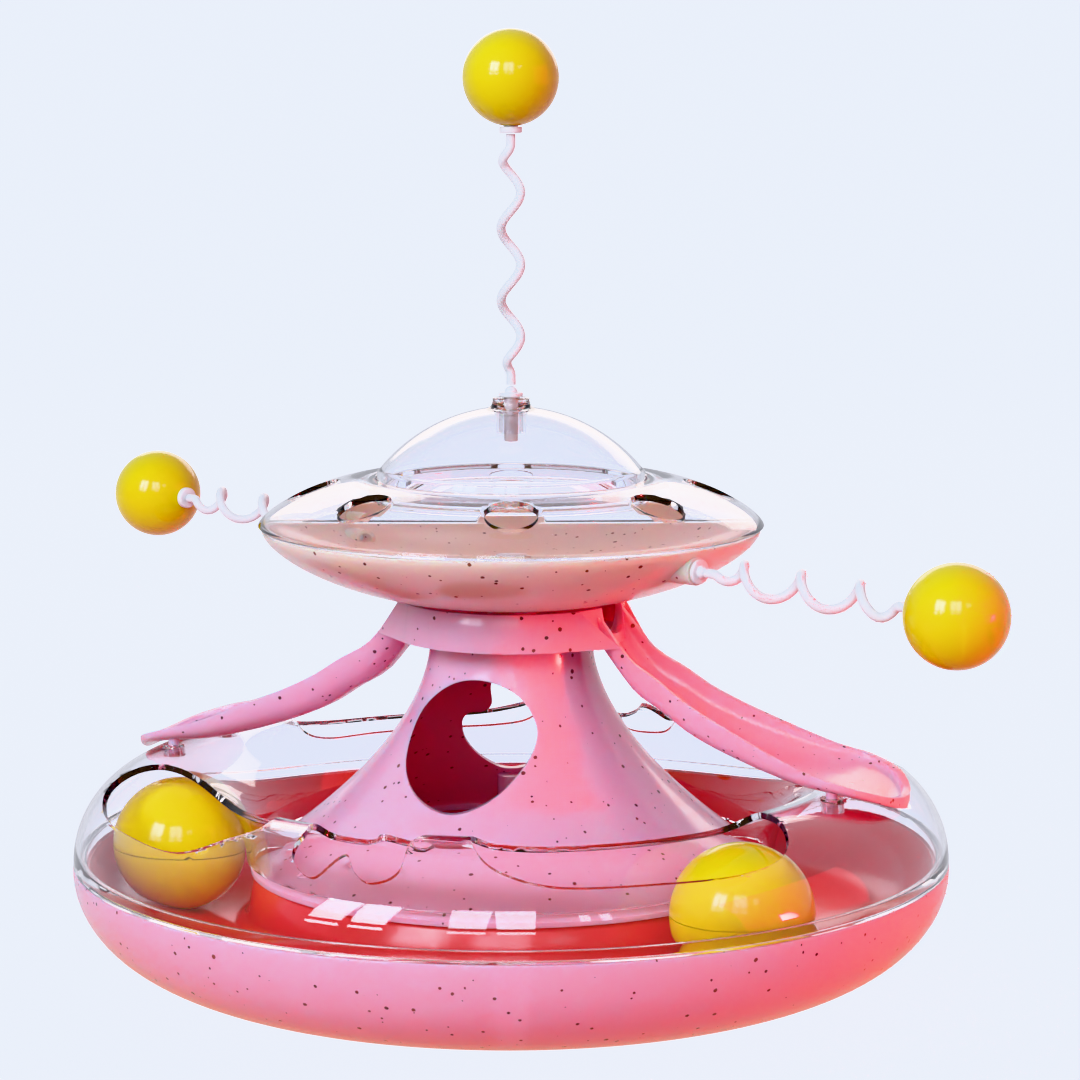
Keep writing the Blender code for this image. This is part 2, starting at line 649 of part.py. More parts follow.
def make_dome(finish, parent):
    centre_z = dome_apex_z - dome_curve_radius
    outer = dome_curve_radius
    inner = outer - dome_wall
    edge_turn = math.asin(dome_radius / outer)
    neck_turn = math.asin(neck_flare_radius / outer)
    tube_turn = math.asin(socket_tube_radius / inner)
    inner_turn = math.asin((dome_radius - dome_wall) / inner)
    outer_turns = [edge_turn + (neck_turn - edge_turn) * step / 5 for step in range(6)]
    inner_turns = [tube_turn + (inner_turn - tube_turn) * step / 3 for step in range(4)]
    outside = [(outer * math.sin(turn), centre_z + outer * math.cos(turn)) for turn in outer_turns]
    inside = [(inner * math.sin(turn), centre_z + inner * math.cos(turn)) for turn in inner_turns]
    bore = plug_shaft_radius + gap
    tube_bottom = neck_top_z - neck_height - socket_tube_depth
    neck = [(neck_radius, neck_top_z - neck_height / 2), (neck_radius, neck_top_z), (bore, neck_top_z),
            (bore, tube_bottom), (socket_tube_radius, tube_bottom)]
    profile = [(dome_radius, dome_bottom_z)] + outside + neck + inside + [(dome_radius - dome_wall, dome_bottom_z)]
    return add_object("ufo_dome", turned(profile), finish, parent)


def make_pivot(finish, washer_finish):
    pin_bottom = cone_top_z - pin_tail
    hub_top = dish_bottom_z + dish_hub_height
    top_washer_z = hub_top + gap
    cap_z = top_washer_z + washer_thickness + gap
    pin_top = cap_z + pin_in_cap - gap
    add_object("pivot_pin", rod(pin_radius, pin_bottom, pin_top, steps=16), finish)
    slack = (dish_bottom_gap - washer_thickness) / 2
    lower = hub_boss_top_z + slack
    washer = ring(pin_hole_radius, washer_radius, lower, lower + washer_thickness)
    add_object("thrust_washer", washer, washer_finish)
    retainer = ring(pin_hole_radius, dish_hub_radius, top_washer_z, top_washer_z + washer_thickness)
    add_object("retaining_washer", retainer, finish)
    profile = [(0, cap_z + cap_height), (cap_radius, cap_z + cap_height), (cap_radius, cap_z),
               (pin_hole_radius, cap_z), (pin_hole_radius, cap_z + pin_in_cap), (0, cap_z + pin_in_cap)]
    add_object("pivot_cap", turned(profile, small_steps), washer_finish)


# The wand's wire, from the plug's dome to the ball's plug: straight ends one wire's
# thickness long, and a helix that opens from the axis and closes back to it.
def wire_points(curl_radius):
    start = plug_flange_height + plug_dome_radius + 2 * gap
    end = wand_reach - wand_ball_radius - ball_plug_height - 2 * gap
    straight = 2 * wire_radius
    first, last = start + straight, end - straight
    count = round((last - first) / curl_pitch * points_per_curl)
    ramp = 0.09
    points = [Vector((0, 0, start))]
    for step in range(count + 1):
        share = step / count
        height = first + (last - first) * share
        opening = min(share / ramp, (1 - share) / ramp, 1)
        radius = curl_radius * opening * opening * (3 - 2 * opening)
        turn = math.tau * (height - first_crest) / curl_pitch
        points.append(Vector((radius * math.cos(turn), radius * math.sin(turn), height)))
    points.append(Vector((0, 0, end)))
    return points


def least_wire_gap(points):
    far_steps = points_per_curl // 2
    closest = min((a - b).length for index, a in enumerate(points) for b in points[index + far_steps:])
    return closest - 2 * wire_radius


def make_wire(name, finish, parent, pivot, points):
    curve = bpy.data.curves.new(name, "CURVE")
    curve.dimensions = "3D"
    curve.bevel_depth = wire_radius
    curve.bevel_resolution = 1
    curve.use_fill_caps = True
    line = curve.splines.new("POLY")
    line.points.add(len(points) - 1)
    for spot, point in zip(line.points, points):
        spot.co = (*point, 1)
    curve.materials.append(finish)
    item = bpy.data.objects.new(name, curve)
    bpy.context.collection.objects.link(item)
    item.parent = parent
    item.location = (0, 0, -pivot)


def make_wand(name, matrix, parent, plug_length, curl_radius, tilt, white, yellow):
    face = add_empty(f"{name}_socket_axis", matrix, parent)
    flange_bottom = gap
    pivot = flange_bottom + plug_flange_height
    dome = bow((plug_dome_radius, pivot), (0, pivot + plug_dome_radius), steps=4)
    profile = [(0, -plug_length), (plug_shaft_radius, -plug_length), (plug_shaft_radius, flange_bottom),
               (plug_flange_radius, flange_bottom), (plug_flange_radius, pivot)] + dome
    add_object(f"{name}_socket_plug", turned(profile, 16), white, face)
    sway = add_empty(f"{name}_sway_axis", Matrix.Translation((0, 0, pivot)) @ tilt, face)
    make_wire(f"{name}_spring", white, sway, pivot, wire_points(curl_radius))
    ball_bottom = wand_reach - wand_ball_radius
    tip_bottom = ball_bottom - ball_plug_height - gap
    tip_top = ball_bottom - gap / 3
    tip = [(0, tip_bottom), (ball_plug_radius, tip_bottom), (ball_plug_radius, tip_top),
           (plug_shaft_radius, tip_top), (plug_shaft_radius, tip_top + ball_plug_length),
           (0, tip_top + ball_plug_length)]
    tip_plug = add_object(f"{name}_ball_plug", turned(tip, 16), white, sway)
    tip_plug.location = (0, 0, -pivot)
    hole = plug_shaft_radius + gap
    shell = []
    for radius, count, way in ((wand_ball_radius, 7, 1), (wand_ball_radius - wand_ball_wall, 4, -1)):
        hole_turn = math.asin(hole / radius)
        arc = [hole_turn + (math.pi - hole_turn) * step / count for step in range(count + 1)]
        line = [(radius * math.sin(turn), wand_reach - radius * math.cos(turn)) for turn in arc]
        line[-1] = (0, wand_reach + radius)
        shell += line[::way]
    ball = add_object(f"{name}_ball", turned(shell, 16), yellow, sway)
    ball.location = (0, 0, -pivot)


def make_track_ball(name, angle, finish, parent):
    centre = Vector((*polar(track_ball_circle, angle), track_floor_z + gap + track_ball_radius))
    inner = track_ball_radius - track_ball_wall
    outer_arc = bow((track_ball_radius, gap / 2), (0, track_ball_radius), steps=5)
    inner_arc = bow((inner, gap / 2), (0, inner), steps=3)
    for half, tilt in (("upper", 0), ("lower", math.pi)):
        form = turned(outer_arc + inner_arc[::-1], 16)
        turn = Matrix.Translation(centre) @ Matrix.Rotation(tilt, 4, "X")
        bmesh.ops.transform(form, verts=form.verts, matrix=turn)
        add_object(f"{name}_track_ball_{half}_half", form, finish, parent)


def make_toy():
    clear_scene()
    pink = plastic("speckled_pink_plastic", (0.85, 0.36, 0.52), 0.25)
    red_pink = plastic("pink_red_plastic", (0.78, 0.12, 0.2), 0.3)
    cream = plastic("speckled_cream_plastic", (0.8, 0.72, 0.62), 0.28)
    clear = plastic("clear_plastic", (0.9, 0.93, 0.97), 0.06, alpha=0.3)
    white = plastic("white_plastic", (0.88, 0.88, 0.9), 0.35)
    yellow = plastic("yellow_plastic", (0.85, 0.66, 0.02), 0.2)
    steel = plastic("steel", (0.6, 0.6, 0.62), 0.35, 1.0)

    make_base_bowl(pink)
    make_track_tray(red_pink)
    make_cone(pink)
    make_column_screws(steel)
    make_track_cover(clear)
    make_slide_ramp(pink)

    turntable = add_empty("turntable_axis", Matrix())
    make_ufo_dish(cream, turntable)
    make_clear_disc(clear, turntable)
    make_dome(clear, turntable)
    make_pivot(steel, white)

    top = Matrix.Translation((0, 0, neck_top_z)) @ Matrix.Rotation(math.pi, 4, "Z")
    make_wand("top_wand", top, turntable, top_plug_length, top_curl_radius, Matrix(), white, yellow)
    for side, angle in side_wand_angles.items():
        outward = Matrix.Rotation(math.radians(angle), 4, "Z") @ Matrix.Rotation(math.pi / 2, 4, "Y")
        face = Matrix.Translation((*polar(nozzle_reach, angle), wand_z)) @ outward
        droop = Matrix.Rotation(math.radians(wand_droop[side]), 4, "Y")
        lean = Matrix.Rotation(math.radians(wand_lean[side]), 4, "X")
        make_wand(f"{side}_wand", face, turntable, side_plug_length, side_curl_radius, droop @ lean, white, yellow)

    track_centre = add_empty("track_axis", Matrix())
    for side, angle in track_ball_angles.items():
        make_track_ball(side, angle, yellow, track_centre)

    for curl_radius in (top_curl_radius, side_curl_radius):
        print("least gap between a wire's turns:", round(least_wire_gap(wire_points(curl_radius)) / mm, 2), "mm")


make_toy()
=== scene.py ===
# Cat ball track toy: finishes, full moulded shapes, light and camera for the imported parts.
import math

import bpy
from mathutils import Matrix, Vector


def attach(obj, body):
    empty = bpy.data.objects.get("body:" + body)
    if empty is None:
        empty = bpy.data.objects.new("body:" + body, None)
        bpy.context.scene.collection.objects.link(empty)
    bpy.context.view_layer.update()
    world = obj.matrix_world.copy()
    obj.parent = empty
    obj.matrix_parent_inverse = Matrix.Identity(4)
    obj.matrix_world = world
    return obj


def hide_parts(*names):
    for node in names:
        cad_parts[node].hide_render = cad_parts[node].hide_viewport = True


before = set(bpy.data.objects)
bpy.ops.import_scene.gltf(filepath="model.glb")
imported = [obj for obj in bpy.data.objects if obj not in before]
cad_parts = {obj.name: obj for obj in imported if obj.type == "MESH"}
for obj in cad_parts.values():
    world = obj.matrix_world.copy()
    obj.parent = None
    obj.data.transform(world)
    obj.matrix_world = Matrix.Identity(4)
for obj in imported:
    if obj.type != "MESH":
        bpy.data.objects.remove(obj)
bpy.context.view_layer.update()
mm = 0.001
print("frame loaded:", len(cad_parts), "nodes")

moulding = {
    "fitGap": 0.3 * mm,      # clearance between parts that meet
    "turnSteps": 160,        # faces round a large turned part
    "smallSteps": 64,        # faces round a small one
    "smoothAngle": 38,       # edges flatter than this shade smooth
    "cornerSteps": 4,        # lines in an eased corner
    "cornerReach": 0.45,     # the most of a side that an eased corner takes
    "mergeWidth": 0.004 * mm,
    "sortFrom": (0.517, 0.331, 0.719)}      # a place that no two points are equally far from


# Small tools for shaping

def deselectAll():
    bpy.ops.object.select_all(action="DESELECT")


def makeActive(piece):
    deselectAll()
    piece.select_set(True)
    bpy.context.view_layer.objects.active = piece


# Edit mode with all of the piece's mesh selected
def openMesh(piece):
    makeActive(piece)
    bpy.ops.object.mode_set(mode="EDIT")
    bpy.ops.mesh.select_all(action="SELECT")


def closeMesh():
    bpy.ops.object.mode_set(mode="OBJECT")


# An arc of a superellipse from an upright start to a level end. A curve of 2 is an ellipse.
def bow(start, end, curve=2.0, steps=26):
    points = []
    for step in range(steps + 1):
        turn = math.pi / 2 * step / steps
        along = 1 - max(math.cos(turn), 0) ** (2 / curve)
        rise = max(math.sin(turn), 0) ** (2 / curve)
        points.append((start[0] + (end[0] - start[0]) * along,
                       start[1] + (end[1] - start[1]) * rise))
    return points


# The same line a wall's thickness to the left of its direction.
def movedAside(points, distance):
    moved = []
    for index, point in enumerate(points):
        before = Vector(points[max(index - 1, 0)])
        after = Vector(points[min(index + 1, len(points) - 1)])
        along = (after - before).normalized()
        moved.append((point[0] - along.y * distance, point[1] + along.x * distance))
    return moved


# Points with a third number are corners, eased by a small curve of about that size.
def easedLine(points):
    eased = []
    for index, point in enumerate(points):
        if len(point) == 2:
            eased.append(point)
            continue
        corner = Vector(point[:2])
        ends = []
        for neighbour in (points[index - 1], points[(index + 1) % len(points)]):
            side = Vector(neighbour[:2]) - corner
            reach = min(point[2], side.length * moulding["cornerReach"])
            ends.append(corner + side.normalized() * reach)
        start, end = ends
        for step in range(moulding["cornerSteps"] + 1):
            t = step / moulding["cornerSteps"]
            eased.append(tuple((1 - t) ** 2 * start + 2 * t * (1 - t) * corner + t ** 2 * end))
    return eased


# A smooth closed line through a few chosen points.
def smoothLoop(points, steps):
    loop = []
    count = len(points)
    for index in range(count):
        p0, p1, p2, p3 = (Vector(points[(index + shift) % count]) for shift in (-1, 0, 1, 2))
        for step in range(steps):
            t = step / steps
            loop.append(0.5 * (2 * p1 + (p2 - p0) * t + (2 * p0 - 5 * p1 + 4 * p2 - p3) * t * t
                               + (3 * p1 - p0 - 3 * p2 + p3) * t ** 3))
    return loop


# A smooth open line through chosen points, read at a fraction of its first number.
def smoothValue(points, place):
    for index in range(len(points) - 1):
        start, end = points[index], points[index + 1]
        if place <= end[0] or index == len(points) - 2:
            break
    before = points[max(index - 1, 0)]
    after = points[min(index + 2, len(points) - 1)]
    span = end[0] - start[0]
    t = (place - start[0]) / span
    slopeStart = (end[1] - before[1]) / (end[0] - before[0]) * span
    slopeEnd = (after[1] - start[1]) / (after[0] - start[0]) * span
    return ((2 * t ** 3 - 3 * t ** 2 + 1) * start[1] + (t ** 3 - 2 * t ** 2 + t) * slopeStart
            + (3 * t ** 2 - 2 * t ** 3) * end[1] + (t ** 3 - t ** 2) * slopeEnd)


def polar(radius, degrees):
    return radius * math.cos(math.radians(degrees)), radius * math.sin(math.radians(degrees))


# A line drawn point by point: a small plane merged to one vertex, then extruded along.
def drawLine(name, points, closed=False):
    deselectAll()
    bpy.ops.mesh.primitive_plane_add(size=mm, location=points[0])
    piece = bpy.context.object
    piece.name = name
    bpy.ops.object.transform_apply()
    bpy.ops.object.mode_set(mode="EDIT")
    bpy.ops.mesh.select_mode(type="VERT")
    bpy.ops.mesh.merge(type="CENTER")
    for before, after in zip(points, points[1:]):
        move = Vector(after) - Vector(before)
        bpy.ops.mesh.extrude_region_move(TRANSFORM_OT_translate={"value": move})
    closeMesh()
    if closed:
        piece.data.vertices[0].select = True
        bpy.ops.object.mode_set(mode="EDIT")
        bpy.ops.mesh.edge_face_add()
        closeMesh()
    return piece


# Blender numbers the points of a spun or cut piece in another order each run, and merges, cuts
# and bevels follow that order. Sorted by distance from one place, they give the same piece again.
def sortMesh(piece):
    cursor = bpy.context.scene.cursor
    cursor.location = moulding["sortFrom"]
    openMesh(piece)
    bpy.ops.mesh.sort_elements(type="CURSOR_DISTANCE", elements={"VERT", "EDGE", "FACE"})
    closeMesh()
    cursor.location = (0, 0, 0)


def mergeAndTurnOut(piece):
    sortMesh(piece)
    openMesh(piece)
    bpy.ops.mesh.remove_doubles(threshold=moulding["mergeWidth"])
    bpy.ops.mesh.normals_make_consistent(inside=False)
    closeMesh()


# A round part: its wall's line (radius, height) is drawn and spun about the upright axis.
def turnPiece(name, profile, closed=False, steps=moulding["turnSteps"]):
    piece = drawLine(name, [(radius, 0, height) for radius, height in easedLine(profile)], closed)
    openMesh(piece)
    bpy.ops.mesh.spin(steps=steps, angle=math.tau, center=(0, 0, 0), axis=(0, 0, 1))
    closeMesh()
    mergeAndTurnOut(piece)
    return piece


# A block on a flat closed outline, pushed along one direction.
def pushOutline(name, outline, push):
    piece = drawLine(name, outline, closed=True)
    openMesh(piece)
    bpy.ops.mesh.edge_face_add()
    bpy.ops.mesh.extrude_region_move(TRANSFORM_OT_translate={"value": push})
    closeMesh()
    mergeAndTurnOut(piece)
    return piece


def rod(name, radius, bottom, top, place=(0, 0), steps=moulding["smallSteps"]):
    deselectAll()
    bpy.ops.mesh.primitive_cylinder_add(vertices=steps, radius=radius, depth=top - bottom,
                                        location=(*place, (bottom + top) / 2))
    piece = bpy.context.object
    piece.name = name
    bpy.ops.object.transform_apply()
    return piece


def joined(pieces):
    makeActive(pieces[0])
    for piece in pieces:
        piece.select_set(True)
    bpy.ops.object.join()
    return bpy.context.object


def combine(piece, tool, operation):
    makeActive(piece)
    change = piece.modifiers.new("combine", "BOOLEAN")
    change.operation = operation
    change.solver = "EXACT"
    change.object = tool
    bpy.ops.object.modifier_apply(modifier="combine")
    bpy.data.objects.remove(tool, do_unlink=True)
    sortMesh(piece)


# Adds a rod at each place to the piece, or cuts one out of it.
def combineRods(piece, operation, places, radius, bottom, top, steps):
    rods = [rod("rod", radius, bottom, top, place, steps) for place in places]
    combine(piece, joined(rods), operation)


def placePiece(piece, matrix):
    makeActive(piece)
    piece.matrix_world = matrix
    bpy.ops.object.transform_apply()


def copyPiece(piece, name):
    copy = piece.copy()
    copy.data = piece.data.copy()
    copy.name = name
    bpy.context.collection.objects.link(copy)
    return copy


easing = {"sharpest": 50, "mergeWidth": 0.12 * mm}      # edges past this angle are eased


def selectSharpEdges():
    bpy.ops.mesh.select_mode(type="EDGE")
    bpy.ops.mesh.select_all(action="DESELECT")
    bpy.ops.mesh.edges_select_sharp(sharpness=math.radians(easing["sharpest"]))


# Sharp edges get a small round, as a mould's edges have. Points that crowd there are merged first.
def easeEdges(piece, width, segments=2):
    openMesh(piece)
    selectSharpEdges()
    bpy.ops.mesh.select_mode(type="VERT")
    bpy.ops.mesh.remove_doubles(threshold=easing["mergeWidth"])
    selectSharpEdges()
    bpy.ops.mesh.bevel(offset=width, segments=segments, profile=0.5, affect="EDGES",
                       clamp_overlap=True)
    bpy.ops.mesh.select_mode(type="VERT")
    closeMesh()


def finishPiece(piece, material, body, replaced, smoothAngle=moulding["smoothAngle"]):
    makeActive(piece)
    bpy.ops.object.shade_smooth_by_angle(angle=math.radians(smoothAngle))
    piece.data.materials.clear()
    piece.data.materials.append(material)
    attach(piece, body)
    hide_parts(*replaced)
    deselectAll()


# Finishes

def toLinear(hexColour):
    channels = [int(hexColour[place:place + 2], 16) / 255 for place in (1, 3, 5)]
    return [value / 12.92 if value <= 0.04045 else ((value + 0.055) / 1.055) ** 2.4
            for value in channels] + [1.0]


# Adds a node: settings fill its properties or its inputs, links join outputs to its inputs.
def addNode(tree, kind, settings={}, links={}):
    node = tree.nodes.new(kind)
    for name, value in settings.items():
        if isinstance(name, int) or name in node.inputs:
            node.inputs[name].default_value = value
        else:
            setattr(node, name, value)
    for name, output in links.items():
        tree.links.new(output, node.inputs[name])
    return node


# A new material, with the place on the object that its patterns follow
def startMaterial(name, settings):
    material = bpy.data.materials.new(name)
    material.use_nodes = True
    tree = material.node_tree
    shader = tree.nodes["Principled BSDF"]
    for key, value in settings.items():
        shader.inputs[key].default_value = value
    place = addNode(tree, "ShaderNodeTexCoord").outputs["Object"]
    return material, tree, shader, place


# Plastic whose colour drifts slowly between two near shades, as its pigment is never quite mixed
def driftColour(tree, place, driftSize, colour, deepColour):
    cloud = addNode(tree, "ShaderNodeTexNoise", {"Scale": 1 / driftSize, "Detail": 2.0},
                    {"Vector": place})
    return addNode(tree, "ShaderNodeMix", {
        "data_type": "RGBA", 6: toLinear(colour), 7: toLinear(deepColour)},
        {0: cloud.outputs["Fac"]}).outputs[2]


# Roughness that wanders between two values with a pattern
def varyGloss(tree, shader, pattern, least, most):
    gloss = addNode(tree, "ShaderNodeMapRange", {"To Min": least, "To Max": most},
                    {"Value": pattern})
    tree.links.new(gloss.outputs["Result"], shader.inputs["Roughness"])


# The gloss of a moulded plastic, with the faint orange peel of its surface
def addPeel(tree, shader, place, peel, roughness):
    pattern = addNode(tree, "ShaderNodeTexNoise", {"Scale": 1 / peel["size"], "Detail": 1.0},
                      {"Vector": place}).outputs["Fac"]
    varyGloss(tree, shader, pattern, roughness - peel["smoother"], roughness + peel["rougher"])
    bump = addNode(tree, "ShaderNodeBump", {
        "Strength": peel["strength"], "Distance": peel["height"]}, {"Height": pattern})
    tree.links.new(bump.outputs["Normal"], shader.inputs["Normal"])


speckledAbs = {
    "ior": 1.52, "roughness": 0.14, "driftSize": 38 * mm,
    "peel": {"size": 1.4 * mm, "height": 0.010 * mm, "strength": 0.6,
             "smoother": 0.03, "rougher": 0.05},
    "speckSpacing": 3.6 * mm,            # one flake in each cell of this size
    "smallest": 0.05, "largest": 0.2,    # flake radius as a share of the cell
    "fewLarge": 1.4,                     # over 1, small flakes outnumber large ones
    "raggedSize": 1.2 * mm, "raggedness": 0.5 * mm,
    "edgeBlur": 0.02, "flakeCover": 0.92,
    "darkFlake": "#2A0A08", "warmFlake": "#7A3410"}


# Moulded ABS with flakes of dark colour mixed into the granules: glossy, and light sinks in
# between the flakes, red light deepest.
def makeSpeckledAbs(name, colour, deepColour, redDepth, greenDepth, blueDepth):
    s = speckledAbs
    material, tree, shader, place = startMaterial(name, {
        "IOR": s["ior"], "Subsurface Weight": 1.0, "Subsurface Scale": redDepth,
        "Subsurface Radius": (1.0, greenDepth / redDepth, blueDepth / redDepth)})
    ragged = addNode(tree, "ShaderNodeTexNoise", {"Scale": 1 / s["raggedSize"], "Detail": 2.0},
                     {"Vector": place})
    moved = addNode(tree, "ShaderNodeVectorMath", {
        "operation": "MULTIPLY_ADD", 1: (s["raggedness"],) * 3},
        {0: ragged.outputs["Color"], 2: place})
    cells = addNode(tree, "ShaderNodeTexVoronoi", {"Scale": 1 / s["speckSpacing"]},
                    {"Vector": moved.outputs[0]})
    random = addNode(tree, "ShaderNodeSeparateColor", {}, {"Color": cells.outputs["Color"]})
    skewed = addNode(tree, "ShaderNodeMath", {"operation": "POWER", 1: s["fewLarge"]},
                     {0: random.outputs["Red"]})
    radius = addNode(tree, "ShaderNodeMapRange", {"To Min": s["smallest"], "To Max": s["largest"]},
                     {"Value": skewed.outputs[0]})
    inside = addNode(tree, "ShaderNodeMath", {"operation": "SUBTRACT"},
                     {0: radius.outputs["Result"], 1: cells.outputs["Distance"]})
    flake = addNode(tree, "ShaderNodeMapRange", {
        "From Min": 0.0, "From Max": s["edgeBlur"], "To Min": 0.0, "To Max": s["flakeCover"]},
        {"Value": inside.outputs[0]}).outputs["Result"]
    flakeColour = addNode(tree, "ShaderNodeMix", {
        "data_type": "RGBA", 6: toLinear(s["darkFlake"]), 7: toLinear(s["warmFlake"])},
        {0: random.outputs["Green"]})
    body = driftColour(tree, place, s["driftSize"], colour, deepColour)
    mixed = addNode(tree, "ShaderNodeMix", {"data_type": "RGBA"},
                    {0: flake, 6: body, 7: flakeColour.outputs[2]})
    tree.links.new(mixed.outputs[2], shader.inputs["Base Color"])
    clearOfFlakes = addNode(tree, "ShaderNodeMath", {"operation": "SUBTRACT", 0: 1.0}, {1: flake})
    tree.links.new(clearOfFlakes.outputs[0], shader.inputs["Subsurface Weight"])
    addPeel(tree, shader, place, s["peel"], s["roughness"])
    return material


plainPlastic = {
    "driftSize": 24 * mm,
    "peel": {"size": 1.2 * mm, "height": 0.008 * mm, "strength": 0.5,
             "smoother": 0.03, "rougher": 0.04}}


# A plain moulded plastic: even and glossy, with a faint peel.
def makePlainPlastic(name, colour, deepColour, roughness, settings):
    p = plainPlastic
    material, tree, shader, place = startMaterial(name, settings)
    body = driftColour(tree, place, p["driftSize"], colour, deepColour)
    tree.links.new(body, shader.inputs["Base Color"])
    addPeel(tree, shader, place, p["peel"], roughness)
    return material


# A plain finish whose gloss alone wanders
def makeEvenFinish(name, settings, grainSize, detail, least, most):
    material, tree, shader, place = startMaterial(name, settings)
    grain = addNode(tree, "ShaderNodeTexNoise", {"Scale": 1 / grainSize, "Detail": detail},
                    {"Vector": place})
    varyGloss(tree, shader, grain.outputs["Fac"], least, most)
    return material


# Glossy ABS, pink and cream: light sinks a few millimetres into it, which softens the shadows
speckledPinkAbs = makeSpeckledAbs(
    "speckledPinkAbs", "#FFBDD8", "#FFB4D0", 5 * mm, 0.8 * mm, 0.9 * mm)
speckledCreamAbs = makeSpeckledAbs(
    "speckledCreamAbs", "#F0E8DC", "#EDE2D4", 4 * mm, 1.5 * mm, 1.0 * mm)
# Dyed ABS of the tray, a little duller from the balls that roll on it
rosePinkAbs = makePlainPlastic("rosePinkAbs", "#DE2A40", "#D8243A", 0.2, {"IOR": 1.52})
# Nylon of wires and plugs: satin, and slightly milky where it is thin
whiteNylon = makePlainPlastic("whiteNylon", "#EDF4F6", "#E8EFF3", 0.32, {
    "IOR": 1.53, "Subsurface Weight": 0.3, "Subsurface Scale": 1.5 * mm,
    "Subsurface Radius": (1.0, 0.9, 0.85)})
# Polished ABS of the balls: an even colour and a sharp highlight
yellowAbs = makePlainPlastic("glossyYellowAbs", "#E6D800", "#E3D200", 0.14, {"IOR": 1.52})
# Injection-moulded and polished polycarbonate: colourless and sharp, with very slight flow ripples
clearPlastic = makeEvenFinish("clearPolycarbonate", {
    "Base Color": toLinear("#F5F7FC"), "Transmission Weight": 1.0, "IOR": 1.5, "Roughness": 0.01},
    16 * mm, 1.0, 0.004, 0.014)
# Zinc-plated steel: a pale metal with a fine worn grain
zincSteel = makeEvenFinish("zincPlatedSteel", {
    "Base Color": toLinear("#C9CACD"), "Metallic": 1.0}, 0.4 * mm, 3.0, 0.22, 0.42)
print("finishes made")


# Base bowl with its foot ring, screw posts and wells

bowl = {
    "radius": 129.4 * mm, "flatRadius": 88 * mm, "bellyZ": 33 * mm, "rimZ": 34.7 * mm,
    "rimInset": 0.1 * mm, "rimEdge": 0.5 * mm, "bottomZ": 2 * mm, "wall": 2.4 * mm,
    "footOut": 87 * mm, "footIn": 82 * mm, "footEdge": 0.6 * mm,
    "screwCircle": 52.03 * mm, "screwAngles": (90, 210, 330), "postRadius": 5.4 * mm,
    "postTop": 28.2 * mm, "wellRadius": 3.6 * mm, "wellTop": 20 * mm, "holeRadius": 1.8 * mm}


def screwPlaces():
    return [polar(bowl["screwCircle"], degrees) for degrees in bowl["screwAngles"]]


def makeBaseBowl():
    b = bowl
    floorZ = b["bottomZ"] + b["wall"]
    outside = bow((b["radius"], b["bellyZ"]), (b["flatRadius"], b["bottomZ"]), steps=30)
    inside = bow((b["radius"] - b["wall"], b["bellyZ"]), (b["flatRadius"], floorZ), steps=20)
    foot = [(b["footIn"], b["bottomZ"]), (b["footIn"], 0, b["footEdge"]),
            (b["footOut"], 0, b["footEdge"]), (b["footOut"], b["bottomZ"])]
    rimRadius = b["radius"] - b["rimInset"]
    rim = [(rimRadius, b["rimZ"], b["rimEdge"]), (rimRadius - b["wall"], b["rimZ"], b["rimEdge"])]
    profile = [(0, b["bottomZ"])] + foot + outside[::-1] + rim + inside + [(0, floorZ)]
    piece = turnPiece("baseBowl", profile)
    for operation, radius, bottom, top, steps in (
            ("UNION", b["postRadius"], b["bottomZ"] + b["wall"] / 2, b["postTop"], 32),
            ("DIFFERENCE", b["wellRadius"], -b["wall"], b["wellTop"], 32),
            ("DIFFERENCE", b["holeRadius"], b["wellRadius"], b["postTop"] + b["wall"], 24)):
        combineRods(piece, operation, screwPlaces(), radius, bottom, top, steps)
    finishPiece(piece, speckledPinkAbs, "base", ["base_bowl"])


# Track tray: the red channel the balls roll in, with a raised deck that carries the cone

tray = {
    "floorZ": 14.5 * mm, "floorOuter": 108 * mm, "floorInner": 81.5 * mm, "wall": 2 * mm,
    "outerRadius": 124.6 * mm, "rimZ": 34.4 * mm, "deckRadius": 76.2 * mm, "deckZ": 30.5 * mm,
    "slopeShare": 0.15, "slopeEdge": 1.6 * mm, "holeRadius": 1.8 * mm}


def makeTrackTray():
    t = tray
    wall, deckZ, floorZ = t["wall"], t["deckZ"], t["floorZ"]
    outerWall = bow((t["outerRadius"], t["rimZ"]), (t["floorOuter"], floorZ), steps=20)
    under = bow((t["outerRadius"] + wall, t["rimZ"]), (t["floorOuter"], floorZ - wall), steps=20)
    slope = t["slopeShare"] * (deckZ - floorZ)
    innerWall = [(t["floorInner"], floorZ, t["slopeEdge"]),
                 (t["deckRadius"] + slope, floorZ + slope, t["slopeEdge"]),
                 (t["deckRadius"], deckZ - wall / 2), (t["deckRadius"] - wall / 2, deckZ)]
    underSide = [(0, deckZ - wall), (t["deckRadius"] - wall, deckZ - wall),
                 (t["deckRadius"] - wall, floorZ + slope),
                 (t["floorInner"] - wall / 2, floorZ - wall)]
    profile = underSide + under[::-1] + outerWall + innerWall + [(0, deckZ)]
    piece = turnPiece("trackTray", profile)
    combineRods(piece, "DIFFERENCE", screwPlaces(), t["holeRadius"], deckZ - 2 * wall,
                deckZ + wall, 24)
    finishPiece(piece, rosePinkAbs, "base", ["track_tray"])


# Cone with its two windows. Their outlines are (across, up) in shares of the cone's height.

